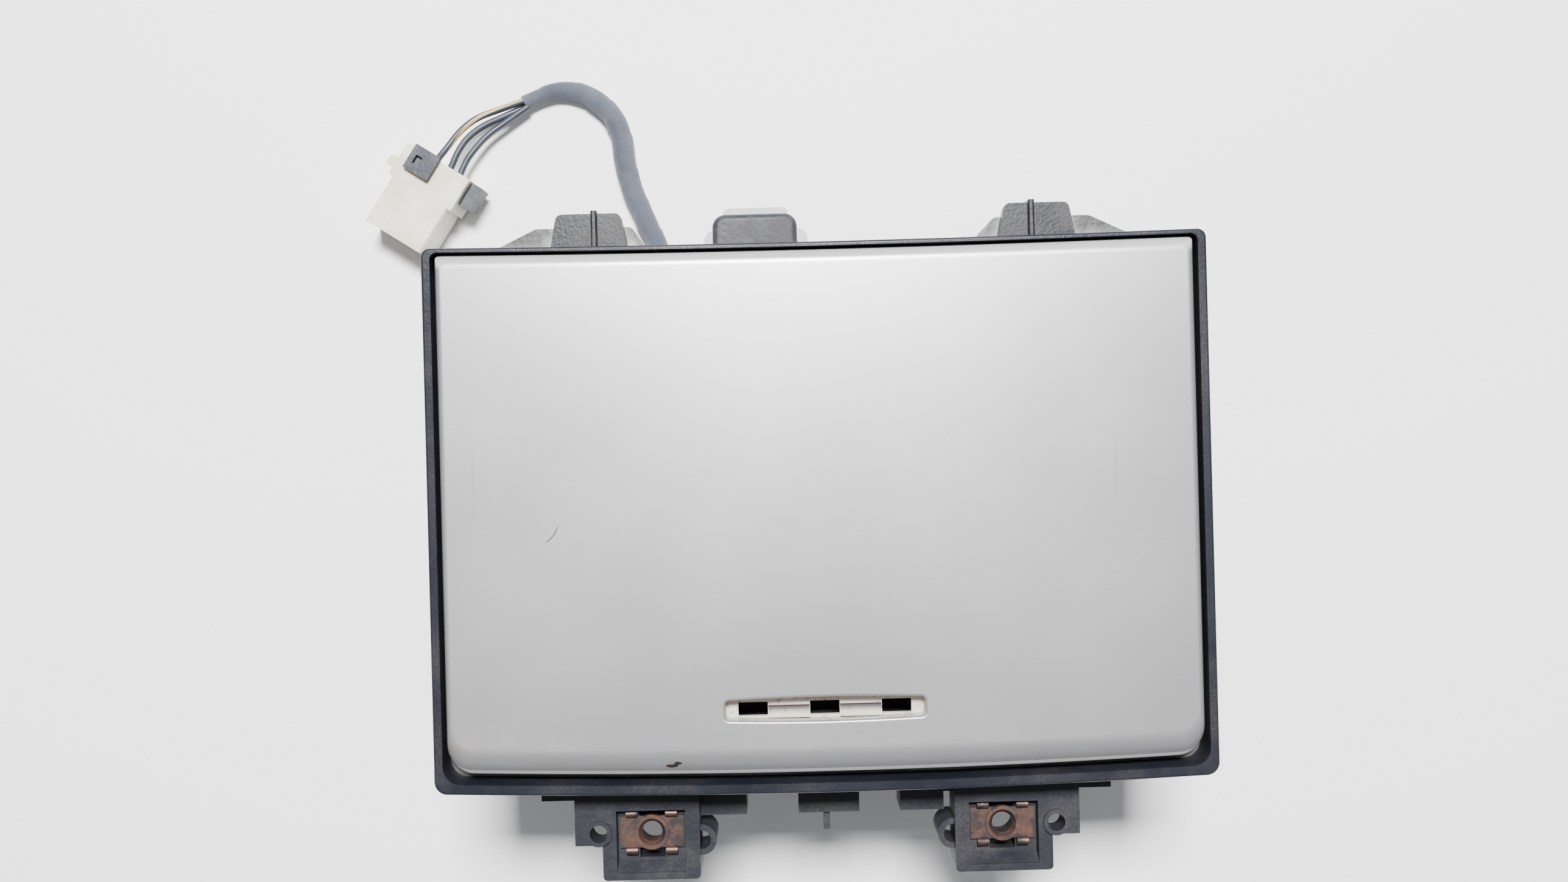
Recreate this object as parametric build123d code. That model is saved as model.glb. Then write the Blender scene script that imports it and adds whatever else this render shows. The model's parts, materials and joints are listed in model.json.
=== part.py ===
from build123d import *
import math
import os

os.makedirs("parts", exist_ok=True)

# Dashboard ashtray and lighter compartment with a flip lid. Millimetres.
# It lies on its back: +Z comes out of the lid, +Y runs from the finger grip to the hinge.
# Pieces are drawn about the middle of the bezel opening and moved at the end, so that the
# origin is under the middle of the whole housing, on the plane of the rear cover.

# ---- driving sizes -------------------------------------------------------------------
FRONT_Z = 72.0            # front plane of bezel and lid above the rear cover's back
BEZEL_W = 178.3           # bezel, side to side
BEZEL_TOP = 62.6          # bezel's hinge-side edge at mid width
BEZEL_BOTTOM = -62.5      # bezel's grip-side edge at mid width
BEZEL_DEPTH = 8.0
TOP_SAG = 0.7             # how much further out the hinge-side corners are than the middle
BOTTOM_BOW = 1.8          # how much further in the grip-side corners are than the middle
SIDE_RAIL = 2.05
TOP_RAIL = 1.0
BOTTOM_RAIL = 2.3

LID_SIDE_GAP = 0.9
LID_TOP_GAP = 0.3
LID_BOTTOM_GAP = 2.1
LID_RELIEF = 0.4          # round the lid's hinge corners where they swing below the bezel
LID_DEPTH = 6.0
SKIN = 1.4
HINGE_R = 4.0             # lid's rolled edges; the hinge axis is the middle of the top one
LIP_H = 1.3
LIP_OUT = 0.8
PANEL_T = 1.6

GRIP_UP = 13.9            # middle of the finger recess above the lid's grip edge
GRIP_W = 45.6
GRIP_H = 6.7
GRIP_END_H = 4.6
GRIP_DEPTH = 4.4
WINDOW_PITCH = 16.5
WINDOW_W = 6.8
WINDOW_H = 3.2
TROUGH_W = 9.65
TROUGH_R = 4.6

WALL = 1.6
FRONT_SECTION = 32.0      # from the lid's face to the step down to the rear box
REAR_W = 156.0
REAR_TOP = 50.0
REAR_BOTTOM = -50.0
COVER_T = 2.0
LID_ROOM = 9.5            # between the fascia and the back of the closed lid
FASCIA_T = 2.5
BAY_PROUD = 6.4           # how far the two bays stand out to clear the gear sector
BAY_DEPTH = 18.0

PIN_R = 1.0
PIN_FIT = 0.05            # running clearance of the hinge pins, on radius
EAR_R = 2.5
EAR_T = 2.2
BRACKET_GAP = 0.4
BRACKET_T = 3.0
SPRING_BRACKET_X = 65.5
SPRING_BRACKET_T = 2.0
COIL_WIRE_R = 0.35
COIL_R = 2.15
COIL_PITCH = 1.1

MODULE = 0.75
SECTOR_TEETH = 24         # in a full turn of the lid's gear sector
PINION_TEETH = 12
GEAR_W = 4.0
GEAR_X = 58.5
MESH_ANGLE = -130.0       # from the hinge axis to the pinion, from +Y towards +Z
BACKLASH = 0.12
SECTOR_FOOT = 3.4         # from the hinge axis down to the underside of the gear arm's foot
DAMPER_R = 7.0
DAMPER_L = 8.0
SHAFT_R = 1.5

SOCKET_X = 47.0
SOCKET_Y = -6.0
SOCKET_BORE = 21.4
SOCKET_WALL = 1.0
SOCKET_BACK_Z = 9.0
KNOB_R = 9.6
KNOB_H = 6.0
HUB_R = 5.0
HUB_L = 14.0
SLEEVE_R = 7.6
RETURN_R = 6.6            # the lighter's return spring
RETURN_WIRE_R = 0.4
RETURN_PITCH = 2.2
RETURN_TURNS = 4
PRESS_TRAVEL = 4.0
CONTACT_H = 7.6           # centre contact, above the socket's back wall

BIN_X = (-72.0, 16.0)
BIN_Y = (-43.0, 38.0)
BIN_BACK_Z = 16.0
BIN_WALL = 1.4
BIN_FLANGE = 2.5
BIN_FLANGE_T = 1.5
BIN_FIT = 0.4
LINER_T = 0.6

LUG_X = 41.3              # middle of each fixing lug's screw hole
LUG_OUT = 13.5            # the screw hole beyond the housing's grip-side wall
LUG_END = 10.7            # from the screw hole to the lug's end
LUG_SET_BACK = 10.0
LUG_T = 10.0
POCKET_W = 16.2
POCKET_DEPTH = 3.0
NUT_W = 15.0
NUT_H = 7.4
NUT_TAB_W = 2.7
NUT_ROLL_R = 0.95
NUT_FULL_H = 10.6
NUT_T = 0.9
NUT_HOLE_R = 2.4
NUT_BOSS_R = 4.1
LOCATOR_X = 53.5
LOCATOR_R = 2.05

TONGUE_X = 51.3
TONGUE_W = 17.8
TONGUE_TOP_W = 14.6
TONGUE_L = 8.0
TONGUE_T = 3.0

LAMP_X = -13.3
HOOD_W = 19.5
HOOD_PROUD = 7.4
HOOD_SET_BACK = 4.0
HOOD_L = 16.0
HOLDER_W = 15.7
HOLDER_PROUD = 12.4
HOLDER_BASE_W = 25.0
HOLDER_BASE_PROUD = 7.2
HOLDER_L = 14.0
BULB_R = 2.5
BULB_PROUD = 4.2
LENS_H = 7.0

BUNDLE_D = 5.8
WIRE_D = 1.8
LEAD_D = 2.4
GROMMET_L = 5.0
ENTRY_X = -38.5           # where the harness enters the rear box
ENTRY_Z = 8.0
LAMP_LEAD_X = -24.0
LAMP_LEAD_Z = 12.0

PLUG_AT = (-112.2, 80.75)  # middle of the plug's mating edge, in the row frame
PLUG_TURN = -33.0
PLUG_L = 24.0
PLUG_W = 17.4
PLUG_COLLAR_W = 19.5
PLUG_H = 14.0

# ---- sizes worked out from them --------------------------------------------------------
OPEN_HALF = BEZEL_W / 2 - SIDE_RAIL
OPEN_TOP = BEZEL_TOP - TOP_RAIL
OPEN_BOTTOM = BEZEL_BOTTOM + BOTTOM_RAIL
LID_HALF = OPEN_HALF - LID_SIDE_GAP
LID_TOP = OPEN_TOP - LID_TOP_GAP
LID_BOTTOM = OPEN_BOTTOM + LID_BOTTOM_GAP
LID_BACK_Z = FRONT_Z - LID_DEPTH
PANEL_TOP_Z = LID_BACK_Z + PANEL_T
GRIP_Y = LID_BOTTOM + GRIP_UP
CATCH_Y = LID_BOTTOM + 6.6
FASCIA_TOP = LID_BACK_Z - LID_ROOM
SHELL_BACK_Z = FRONT_Z - FRONT_SECTION
HINGE_Y = LID_TOP - HINGE_R
HINGE_Z = FRONT_Z - HINGE_R
BEZEL_BACK_Z = FRONT_Z - BEZEL_DEPTH
SHELL_HALF = OPEN_HALF
SHELL_TOP = OPEN_TOP
SHELL_BOTTOM = OPEN_BOTTOM
BAY_OUT = SHELL_TOP + BAY_PROUD
LUG_Y = SHELL_BOTTOM - LUG_OUT
LUG_BOTTOM = LUG_Y - LUG_END
LUG_FRONT_Z = FRONT_Z - LUG_SET_BACK
TONGUE_TOP = BEZEL_TOP + TONGUE_L
HOOD_TOP = BEZEL_TOP + HOOD_PROUD
HOOD_FRONT_Z = FRONT_Z - HOOD_SET_BACK
HOOD_BACK_Z = HOOD_FRONT_Z - HOOD_L
HOLDER_TOP = SHELL_TOP + HOLDER_PROUD
HOLDER_BASE_TOP = SHELL_TOP + HOLDER_BASE_PROUD
HOLDER_BACK_Z = HOOD_BACK_Z - HOLDER_L
LAMP_Y = SHELL_TOP + BULB_PROUD
LENS_Z = (HOOD_BACK_Z + 1.0, HOOD_BACK_Z + 1.0 + LENS_H)
ORIGIN_Y = (LUG_BOTTOM + HOLDER_TOP) / 2
CAVITY_HALF = SHELL_HALF - WALL
CAVITY_TOP = SHELL_TOP - WALL + 0.6
CAVITY_BOTTOM = SHELL_BOTTOM + WALL
EAR_OUT = LID_HALF - HINGE_R
EAR_IN = EAR_OUT - EAR_T
BRACKET_X = EAR_IN - BRACKET_GAP - BRACKET_T / 2
SECTOR_R = MODULE * SECTOR_TEETH / 2
PINION_R = MODULE * PINION_TEETH / 2
MESH = math.radians(MESH_ANGLE)
PINION_Y = HINGE_Y + (SECTOR_R + PINION_R) * math.cos(MESH)
PINION_Z = HINGE_Z + (SECTOR_R + PINION_R) * math.sin(MESH)
FASCIA_BACK_Z = FASCIA_TOP - FASCIA_T
KNOB_BACK_Z = FASCIA_TOP + BIN_FLANGE_T
KNOB_TOP_Z = KNOB_BACK_Z + KNOB_H
ELEMENT_Z = SOCKET_BACK_Z + CONTACT_H + PRESS_TRAVEL + 0.2
SOCKET_R = SOCKET_BORE / 2 + SOCKET_WALL
POST_X = CAVITY_HALF - 4.5
POST_BOTTOM = CAVITY_BOTTOM + 6.6
FASCIA_POSTS = [(-POST_X, POST_BOTTOM), (POST_X, POST_BOTTOM), (-POST_X, 36.0), (POST_X, 36.0)]
LID_SCREW_X = LID_HALF - 16.2
LID_SCREWS = [(-LID_SCREW_X, -40.0), (LID_SCREW_X, -40.0), (-LID_SCREW_X, 30.0), (LID_SCREW_X, 30.0)]
BUMPER_X = LID_HALF - 10.2

# Free harness: points along each route, in the row frame, lying on the table plane.
BUNDLE_ROUTE = [
    (-38.5, 54.2, 8.0), (-38.5, 65.7, 8.0), (-41.0, 77.0, 4.6), (-45.6, 87.3, 3.3),
    (-48.9, 95.2, 3.1), (-50.1, 102.4, 3.1), (-51.0, 110.65, 3.1), (-55.4, 117.7, 3.1),
    (-62.6, 121.85, 3.1), (-70.9, 122.1, 3.1), (-77.6, 118.6, 3.6),
]
WIRE_ROUTES = {
    "wire_striped": [
        (-78.08, 119.52, 4.2), (-84.6, 116.9, 5.8), (-91.9, 112.6, 7.8),
        (-98.1, 106.4, 9.0), (-100.7, 102.1, 9.0), (-103.4, 97.5, 8.8),
    ],
    "wire_dark": [
        (-77.6, 118.6, 2.4), (-84.0, 115.3, 2.9), (-90.4, 110.9, 4.8),
        (-95.0, 105.2, 6.6), (-97.3, 99.8, 6.9), (-100.2, 95.3, 7.0),
    ],
    "wire_single": [
        (-77.12, 117.68, 4.2), (-82.7, 113.7, 4.6), (-88.2, 108.4, 5.2),
        (-92.0, 102.5, 5.8), (-94.5, 98.0, 6.0), (-97.4, 93.5, 6.1),
    ],
}


# ---- helpers -----------------------------------------------------------------------------
def save(name, shape):
    """Write a housing piece, moved to the row's origin."""
    export_step(Pos(0, -ORIGIN_Y, 0) * shape, "parts/" + name + ".step")


def save_free(name, shape):
    """Write a piece that is already drawn in the row frame."""
    export_step(shape, "parts/" + name + ".step")


def group(solids):
    """Several separate solids that share one node."""
    return Compound(list(solids))


def block(x, y, z):
    """A box between pairs of low and high values."""
    size = Box(x[1] - x[0], y[1] - y[0], z[1] - z[0])
    return Pos((x[0] + x[1]) / 2, (y[0] + y[1]) / 2, (z[0] + z[1]) / 2) * size


def rod_x(radius, x, y, z):
    """A cylinder along X between two X values."""
    rod = Rot(0, 90, 0) * Cylinder(radius, x[1] - x[0])
    return Pos((x[0] + x[1]) / 2, y, z) * rod


def rod_z(radius, x, y, z):
    """A cylinder along Z between two Z values."""
    return Pos(x, y, (z[0] + z[1]) / 2) * Cylinder(radius, z[1] - z[0])


def bowed_face(half, top, bottom):
    """The compartment's outline: both long edges bow towards the grip side."""
    left_top = (-half, top + TOP_SAG)
    right_top = (half, top + TOP_SAG)
    right_bottom = (half, bottom + BOTTOM_BOW)
    left_bottom = (-half, bottom + BOTTOM_BOW)
    return make_face([
        ThreePointArc(left_top, (0, top), right_top),
        Line(right_top, right_bottom),
        ThreePointArc(right_bottom, (0, bottom), left_bottom),
        Line(left_bottom, left_top),
    ])


def bowed_plate(half, top, bottom, z, top_r, bottom_r):
    """A plate of that outline with rounded corners."""
    plate = extrude(Pos(0, 0, z[0]) * bowed_face(half, top, bottom), z[1] - z[0])
    plate = fillet(plate.edges().filter_by(Axis.Z).group_by(Axis.Y)[-1], top_r)
    return fillet(plate.edges().filter_by(Axis.Z).group_by(Axis.Y)[0], bottom_r)


def profile_x(points, x):
    """A prism along X from a list of (y, z) points."""
    face = make_face(Polyline([(0, y, z) for y, z in points], close=True))
    return Pos(x[0], 0, 0) * extrude(face, x[1] - x[0], dir=(1, 0, 0))


def prism_z(points, z):
    """A prism along Z from a list of (x, y) points."""
    face = make_face(Polyline([(px, py, 0) for px, py in points], close=True))
    return Pos(0, 0, z[0]) * extrude(face, z[1] - z[0], dir=(0, 0, 1))


def both_sides(shape):
    """A shape and its mirror image across the middle plane."""
    return [shape, mirror(shape, Plane.YZ)]


def gear_tooth(teeth, width):
    """One involute tooth along local +X, from root to tip, about the origin."""
    pitch_r = MODULE * teeth / 2
    base_r = pitch_r * math.cos(math.radians(20))
    root_r = pitch_r - 0.95 * MODULE
    tip_r = pitch_r + 0.7 * MODULE
    pressure = math.radians(20)
    pitch_half = math.pi / (2 * teeth) - BACKLASH / (2 * pitch_r)
    flank = []
    for step in range(5):
        r = max(base_r, root_r) + (tip_r - max(base_r, root_r)) * step / 4
        at = math.acos(min(1.0, base_r / r))
        half = pitch_half + math.tan(pressure) - pressure - (math.tan(at) - at)
        flank.append((r, half))
    low = root_r - 0.4
    points = [(low * math.cos(flank[0][1]), -low * math.sin(flank[0][1]))]
    points += [(r * math.cos(half), -r * math.sin(half)) for r, half in flank]
    points += [(r * math.cos(half), r * math.sin(half)) for r, half in reversed(flank)]
    points += [(low * math.cos(flank[0][1]), low * math.sin(flank[0][1]))]
    face = make_face(Polyline([(0, y, z) for y, z in points], close=True))
    return Pos(-width / 2, 0, 0) * extrude(face, width, dir=(1, 0, 0))


def tube(route, diameter, name):
    """A tube along straight runs joined by arcs as large as the runs allow."""
    radii = []
    for before, corner, after in zip(route, route[1:], route[2:]):
        run_in = Vector(corner) - Vector(before)
        run_out = Vector(after) - Vector(corner)
        turn = math.radians(run_in.get_angle(run_out))
        radii.append(0.45 * min(run_in.length, run_out.length) / math.tan(turn / 2))
    path = FilletPolyline(route, radius=radii)
    start = Plane(origin=path @ 0, z_dir=path % 0)
    solid = sweep(start * Circle(diameter / 2), path=path)
    ideal = math.pi * diameter ** 2 / 4 * path.length
    print(name, "length", round(path.length, 1), "radii", [round(r, 1) for r in radii],
          "volume / ideal", round(solid.volume / ideal, 3))
    return solid


# ---- bezel and housing -------------------------------------------------------------------
def tongue():
    """One locating tongue on the bezel's hinge-side edge, with its stiffening rib."""
    root = BEZEL_TOP - 0.3
    half = TONGUE_W / 2
    half_top = TONGUE_TOP_W / 2
    z = (BEZEL_BACK_Z + 2.2, BEZEL_BACK_Z + 2.2 + TONGUE_T)
    plate = prism_z([
        (TONGUE_X - half, root), (TONGUE_X + half, root),
        (TONGUE_X + half_top, TONGUE_TOP), (TONGUE_X - half_top, TONGUE_TOP),
    ], z)
    plate = fillet(plate.edges().filter_by(Axis.Z).group_by(Axis.Y)[-1], 1.6)
    rib_x = TONGUE_X - 1.4
    rib = block((rib_x - 0.7, rib_x + 0.7), (root, TONGUE_TOP + 0.5), (z[0], z[1] + 1.4))
    rib = fillet(rib.edges().filter_by(Axis.Y).group_by(Axis.Z)[-1], 0.5)
    return plate + rib


def bezel_frame():
    z = (BEZEL_BACK_Z, FRONT_Z)
    outer = bowed_plate(BEZEL_W / 2, BEZEL_TOP, BEZEL_BOTTOM, z, 2.0, 3.0)
    outer = fillet(outer.faces().sort_by(Axis.Z)[-1].edges(), 0.6)
    inner = bowed_plate(OPEN_HALF, OPEN_TOP, OPEN_BOTTOM, (z[0] - 1, z[1] + 1), 1.6, 4.2)
    frame = outer - inner
    return frame + tongue() + mirror(tongue(), Plane.YZ)


def bay():
    """The bulge over the hinge edge that leaves room for the lid's gear sector."""
    z = (BEZEL_BACK_Z - BAY_DEPTH, BEZEL_BACK_Z + 1.5)
    outline = [(39.0, SHELL_TOP - 1), (41.5, BAY_OUT), (64.0, BAY_OUT), (79.5, SHELL_TOP - 1)]
    body = prism_z(outline, z)
    body = fillet(body.edges().filter_by(Axis.Z).group_by(Axis.Y)[-1], 1.8)
    ledge = bowed_plate(BEZEL_W / 2 + 0.1, BEZEL_TOP + 0.1, BEZEL_BOTTOM,
                        (BEZEL_BACK_Z, BEZEL_BACK_Z + 4), 2.0, 3.0)
    hollow = block((43.0, 62.5), (CAVITY_TOP - 3, BAY_OUT - WALL),
                   (z[0] + 2.0, BEZEL_BACK_Z))
    return body - ledge, hollow


def lug():
    """One fixing lug at the grip side, with its pocket, screw way and locating hole."""
    z = (LUG_FRONT_Z - LUG_T, LUG_FRONT_Z)
    root = SHELL_BOTTOM + 1.0
    main = block((LUG_X - 11.4, LUG_X + 11.4), (LUG_BOTTOM, root), z)
    shoulder = block((LUG_X + 11.4, LUG_X + 17.8), (LUG_Y - 2.4, root), (z[0] + 4, z[1]))
    web = block((LUG_X - 20.0, LUG_X + 26.0), (root - 7.0, root), (z[0] - 6, z[1] - 3))
    body = main + shoulder + web
    body = fillet(body.edges().filter_by(Axis.Z).group_by(Axis.Y)[0], 1.0)
    floor = z[1] - POCKET_DEPTH
    pocket = profile_x([
        (LUG_Y - 6.9, floor), (LUG_Y + 5.5, floor), (LUG_Y + 5.5, z[1] + 1),
        (LUG_Y - 9.0, z[1] + 1), (LUG_Y - 9.0, z[1] - 0.4),
    ], (LUG_X - POCKET_W / 2, LUG_X + POCKET_W / 2))
    for span in ((LUG_Y - 6.2, LUG_Y - 3.3), (LUG_Y + 3.3, LUG_Y + 5.5)):
        pocket = pocket + block((LUG_X - 3.0, LUG_X + 3.0), span, (floor - 4, floor + 0.5))
    screw_way = rod_z(3.3, LUG_X, LUG_Y, (z[0] - 1, z[1]))
    locator = rod_z(LOCATOR_R, LOCATOR_X, LUG_Y + 0.5, (z[0], z[1] + 2))
    rim = rod_z(LOCATOR_R + 1.0, LOCATOR_X, LUG_Y + 0.5, (z[1] - 1, z[1] + 0.8))
    return body - pocket + rim - screw_way - locator


def snap_hook():
    """The curved snap hook on the inner side of each lug."""
    z = (LUG_FRONT_Z - 12.0, LUG_FRONT_Z - 2.0)
    ring = rod_z(3.6, LUG_X - 11.6, LUG_Y - 2.2, z)
    core = rod_z(2.2, LUG_X - 11.6, LUG_Y - 2.2, (z[0] - 1, z[1] + 1))
    keep = block((LUG_X - 16, LUG_X - 11.3), (LUG_Y - 6, LUG_Y + 2), z)
    return (ring - core) & keep


def bottom_ribs():
    """Three stiffening blocks and a peg along the grip-side wall."""
    root = SHELL_BOTTOM + 1.0
    spans = [(-30.4, -18.9), (-6.6, 7.8), (17.5, 27.8)]
    z = (LUG_FRONT_Z - 14.0, LUG_FRONT_Z - 4.0)
    blocks = [block(span, (SHELL_BOTTOM - 10.5, root), z) for span in spans]
    blocks[1] = blocks[1] + block((-0.7, 0.8), (SHELL_BOTTOM - 14.8, root), (z[0] + 6, z[1] - 1))
    return blocks


def rear_cavity():
    return block((-REAR_W / 2 + WALL, REAR_W / 2 - WALL),
                 (REAR_BOTTOM + WALL, REAR_TOP - WALL), (COVER_T - 1, SHELL_BACK_Z + WALL + 1))


def shell_outline(z):
    return bowed_plate(SHELL_HALF, SHELL_TOP, SHELL_BOTTOM, z, 2.0, 4.0)


def housing_shell():
    """The wide front ring behind the bezel, with its two bays and the lamp's window."""
    shell = shell_outline((SHELL_BACK_Z + WALL, BEZEL_BACK_Z))
    lip = bowed_plate(BEZEL_W / 2, BEZEL_TOP, BEZEL_BOTTOM, (BEZEL_BACK_Z - 2, BEZEL_BACK_Z), 2.0, 3.0)
    shell = shell + lip
    bulge, hollow = bay()
    shell = shell + bulge + mirror(bulge, Plane.YZ)
    shell = shell - bowed_plate(CAVITY_HALF, CAVITY_TOP, CAVITY_BOTTOM,
                                (SHELL_BACK_Z, BEZEL_BACK_Z + 1), 1.0, 3.0)
    shell = shell - hollow - mirror(hollow, Plane.YZ)
    relief = block((CAVITY_HALF - 1, LID_HALF + LID_RELIEF), (HINGE_Y - 6, HINGE_Y + 3),
                   (BEZEL_BACK_Z - TOP_SAG - LID_RELIEF, BEZEL_BACK_Z + 1))
    for piece in both_sides(relief):
        shell = shell - piece
    return shell - block((LAMP_X - 5, LAMP_X + 5), (CAVITY_TOP - 2, SHELL_TOP + 3), LENS_Z)


def fixing_lugs():
    """Both lugs with their hooks, and the ribs between them, bonded to the ring's wall."""
    wall = shell_outline((0.0, FRONT_Z))
    pieces = both_sides(lug() + snap_hook()) + bottom_ribs()
    return group([piece - wall for piece in pieces])


def rear_case():
    """The deep rear box, with the flange that closes the ring and carries the fascia posts."""
    case = block((-REAR_W / 2, REAR_W / 2), (REAR_BOTTOM, REAR_TOP), (COVER_T, SHELL_BACK_Z + WALL))
    case = case + shell_outline((SHELL_BACK_Z, SHELL_BACK_Z + WALL))
    case = case - rear_cavity()
    for x in (-1, 1):
        for y in (REAR_BOTTOM + 5, REAR_TOP - 5):
            post_x = x * (REAR_W / 2 - 4.5)
            case = case + rod_z(3.6, post_x, y, (COVER_T, SHELL_BACK_Z + WALL))
            case = case - rod_z(1.4, post_x, y, (COVER_T - 1, COVER_T + 12))
    for x, y in FASCIA_POSTS:
        case = case + rod_z(3.4, x, y, (SHELL_BACK_Z + WALL - 0.1, FASCIA_BACK_Z))
        case = case - rod_z(1.25, x, y, (FASCIA_BACK_Z - 8, FASCIA_BACK_Z + 1))
    grommet_way = Rot(90, 0, 0) * Cylinder(BUNDLE_D / 2 + 1.6, 8)
    case = case - Pos(ENTRY_X, REAR_TOP, ENTRY_Z) * grommet_way
    lead_way = Rot(90, 0, 0) * Cylinder(LEAD_D / 2, 8)
    return case - Pos(LAMP_LEAD_X, REAR_TOP, LAMP_LEAD_Z) * lead_way


def rear_cover():
    plate = block((-REAR_W / 2, REAR_W / 2), (REAR_BOTTOM, REAR_TOP), (0, COVER_T))
    plate = fillet(plate.edges().filter_by(Axis.Z), 2.0)
    for x in (-1, 1):
        for y in (REAR_BOTTOM + 5, REAR_TOP - 5):
            plate = plate - rod_z(1.7, x * (REAR_W / 2 - 4.5), y, (-1, COVER_T + 1))
    return plate


def cover_screws():
    screws = []
    for x in (-1, 1):
        for y in (REAR_BOTTOM + 5, REAR_TOP - 5):
            at = x * (REAR_W / 2 - 4.5)
            head = rod_z(1.68, at, y, (0.4, COVER_T))
            screws.append(head + rod_z(1.4, at, y, (COVER_T, COVER_T + 9)))
    return group(screws)


def hinge_bracket(x, thickness):
    """A strut that carries the hinge pin from behind, clear of the lid's swing."""
    y = HINGE_Y
    z = HINGE_Z
    low = FASCIA_TOP - 0.5
    strut = profile_x([
        (y - 2.4, z - 0.6), (y - 6.0, z - 3.2), (y - 14.0, low), (y - 5.0, low),
        (y - 3.0, z - 5.5), (y - 0.9, z - 2.3), (y - 0.2, z - 0.2),
    ], (x - thickness / 2, x + thickness / 2))
    disc = rod_x(EAR_R, (x - thickness / 2, x + thickness / 2), y, z)
    return strut + disc


def inner_fascia():
    z = (FASCIA_BACK_Z, FASCIA_TOP)
    plate = bowed_plate(CAVITY_HALF - 0.3, CAVITY_TOP - 0.3, CAVITY_BOTTOM + 0.3, z, 1.0, 3.0)
    bin_hole = block((BIN_X[0] - BIN_FIT, BIN_X[1] + BIN_FIT),
                     (BIN_Y[0] - BIN_FIT, BIN_Y[1] + BIN_FIT), (z[0] - 1, z[1] + 1))
    bin_hole = fillet(bin_hole.edges().filter_by(Axis.Z), 6.0 + BIN_FIT)
    damper_gap = block((GEAR_X - 4.0, GEAR_X + 16.0), (PINION_Y - 8.6, CAVITY_TOP + 5),
                       (z[0] - 1, z[1] + 1))
    plate = plate - bin_hole - rod_z(SOCKET_R, SOCKET_X, SOCKET_Y, (z[0] - 1, z[1] + 1)) - damper_gap
    for x in (-BRACKET_X, BRACKET_X):
        plate = plate + hinge_bracket(x, BRACKET_T)
    plate = plate + hinge_bracket(-SPRING_BRACKET_X, SPRING_BRACKET_T)
    mount_x = GEAR_X + 3.5 + DAMPER_L
    arm = block((mount_x, mount_x + 2.5), (PINION_Y - 12, PINION_Y + 6), (z[0], PINION_Z + 6.5))
    foot = block((mount_x, mount_x + 6.0), (PINION_Y - 12, PINION_Y - 5), z)
    plate = plate + arm + foot
    plate = plate - rod_x(1.25, (mount_x - 1, mount_x + 4), PINION_Y, PINION_Z)
    for x in (-BRACKET_X, -SPRING_BRACKET_X, BRACKET_X):
        plate = plate - rod_x(PIN_R, (x - 3, x + 3), HINGE_Y, HINGE_Z)
    for x, y in FASCIA_POSTS:
        plate = plate - rod_z(1.5, x, y, (z[0] - 1, z[1] + 1))
    return plate


def fascia_screws():
    screws = []
    for x, y in FASCIA_POSTS:
        head = rod_z(2.6, x, y, (FASCIA_TOP, FASCIA_TOP + 1.6))
        slot = block((x - 2.2, x + 2.2), (y - 0.35, y + 0.35), (FASCIA_TOP + 0.9, FASCIA_TOP + 2))
        shank = rod_z(1.25, x, y, (FASCIA_BACK_Z - 7, FASCIA_TOP))
        screws.append(head - slot + shank)
    return group(screws)


# ---- lid ---------------------------------------------------------------------------------
def grip_outline(grow, z):
    """The lens-shaped finger recess, grown all round."""
    half = GRIP_W / 2 + grow
    end = GRIP_END_H / 2 + grow
    mid = GRIP_H / 2 + grow
    y = GRIP_Y
    face = make_face([
        ThreePointArc((-half, y + end), (0, y + mid), (half, y + end)),
        Line((half, y + end), (half, y - end)),
        ThreePointArc((half, y - end), (0, y - mid), (-half, y - end)),
        Line((-half, y - end), (-half, y + end)),
    ])
    solid = extrude(Pos(0, 0, z[0]) * face, z[1] - z[0])
    return fillet(solid.edges().filter_by(Axis.Z), 1.9 + grow)


def lid_solid(inset):
    """The lid's outer form, or the hollow inside it when inset by the skin."""
    z = (LID_BACK_Z, FRONT_Z - inset)
    solid = bowed_plate(LID_HALF - inset, LID_TOP - inset, LID_BOTTOM + LIP_OUT + inset, z,
                        1.4 if inset == 0 else 0.8, 6.5 - inset)
    front = solid.faces().sort_by(Axis.Z)[-1].edges()
    return fillet(front, HINGE_R - inset)


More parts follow.
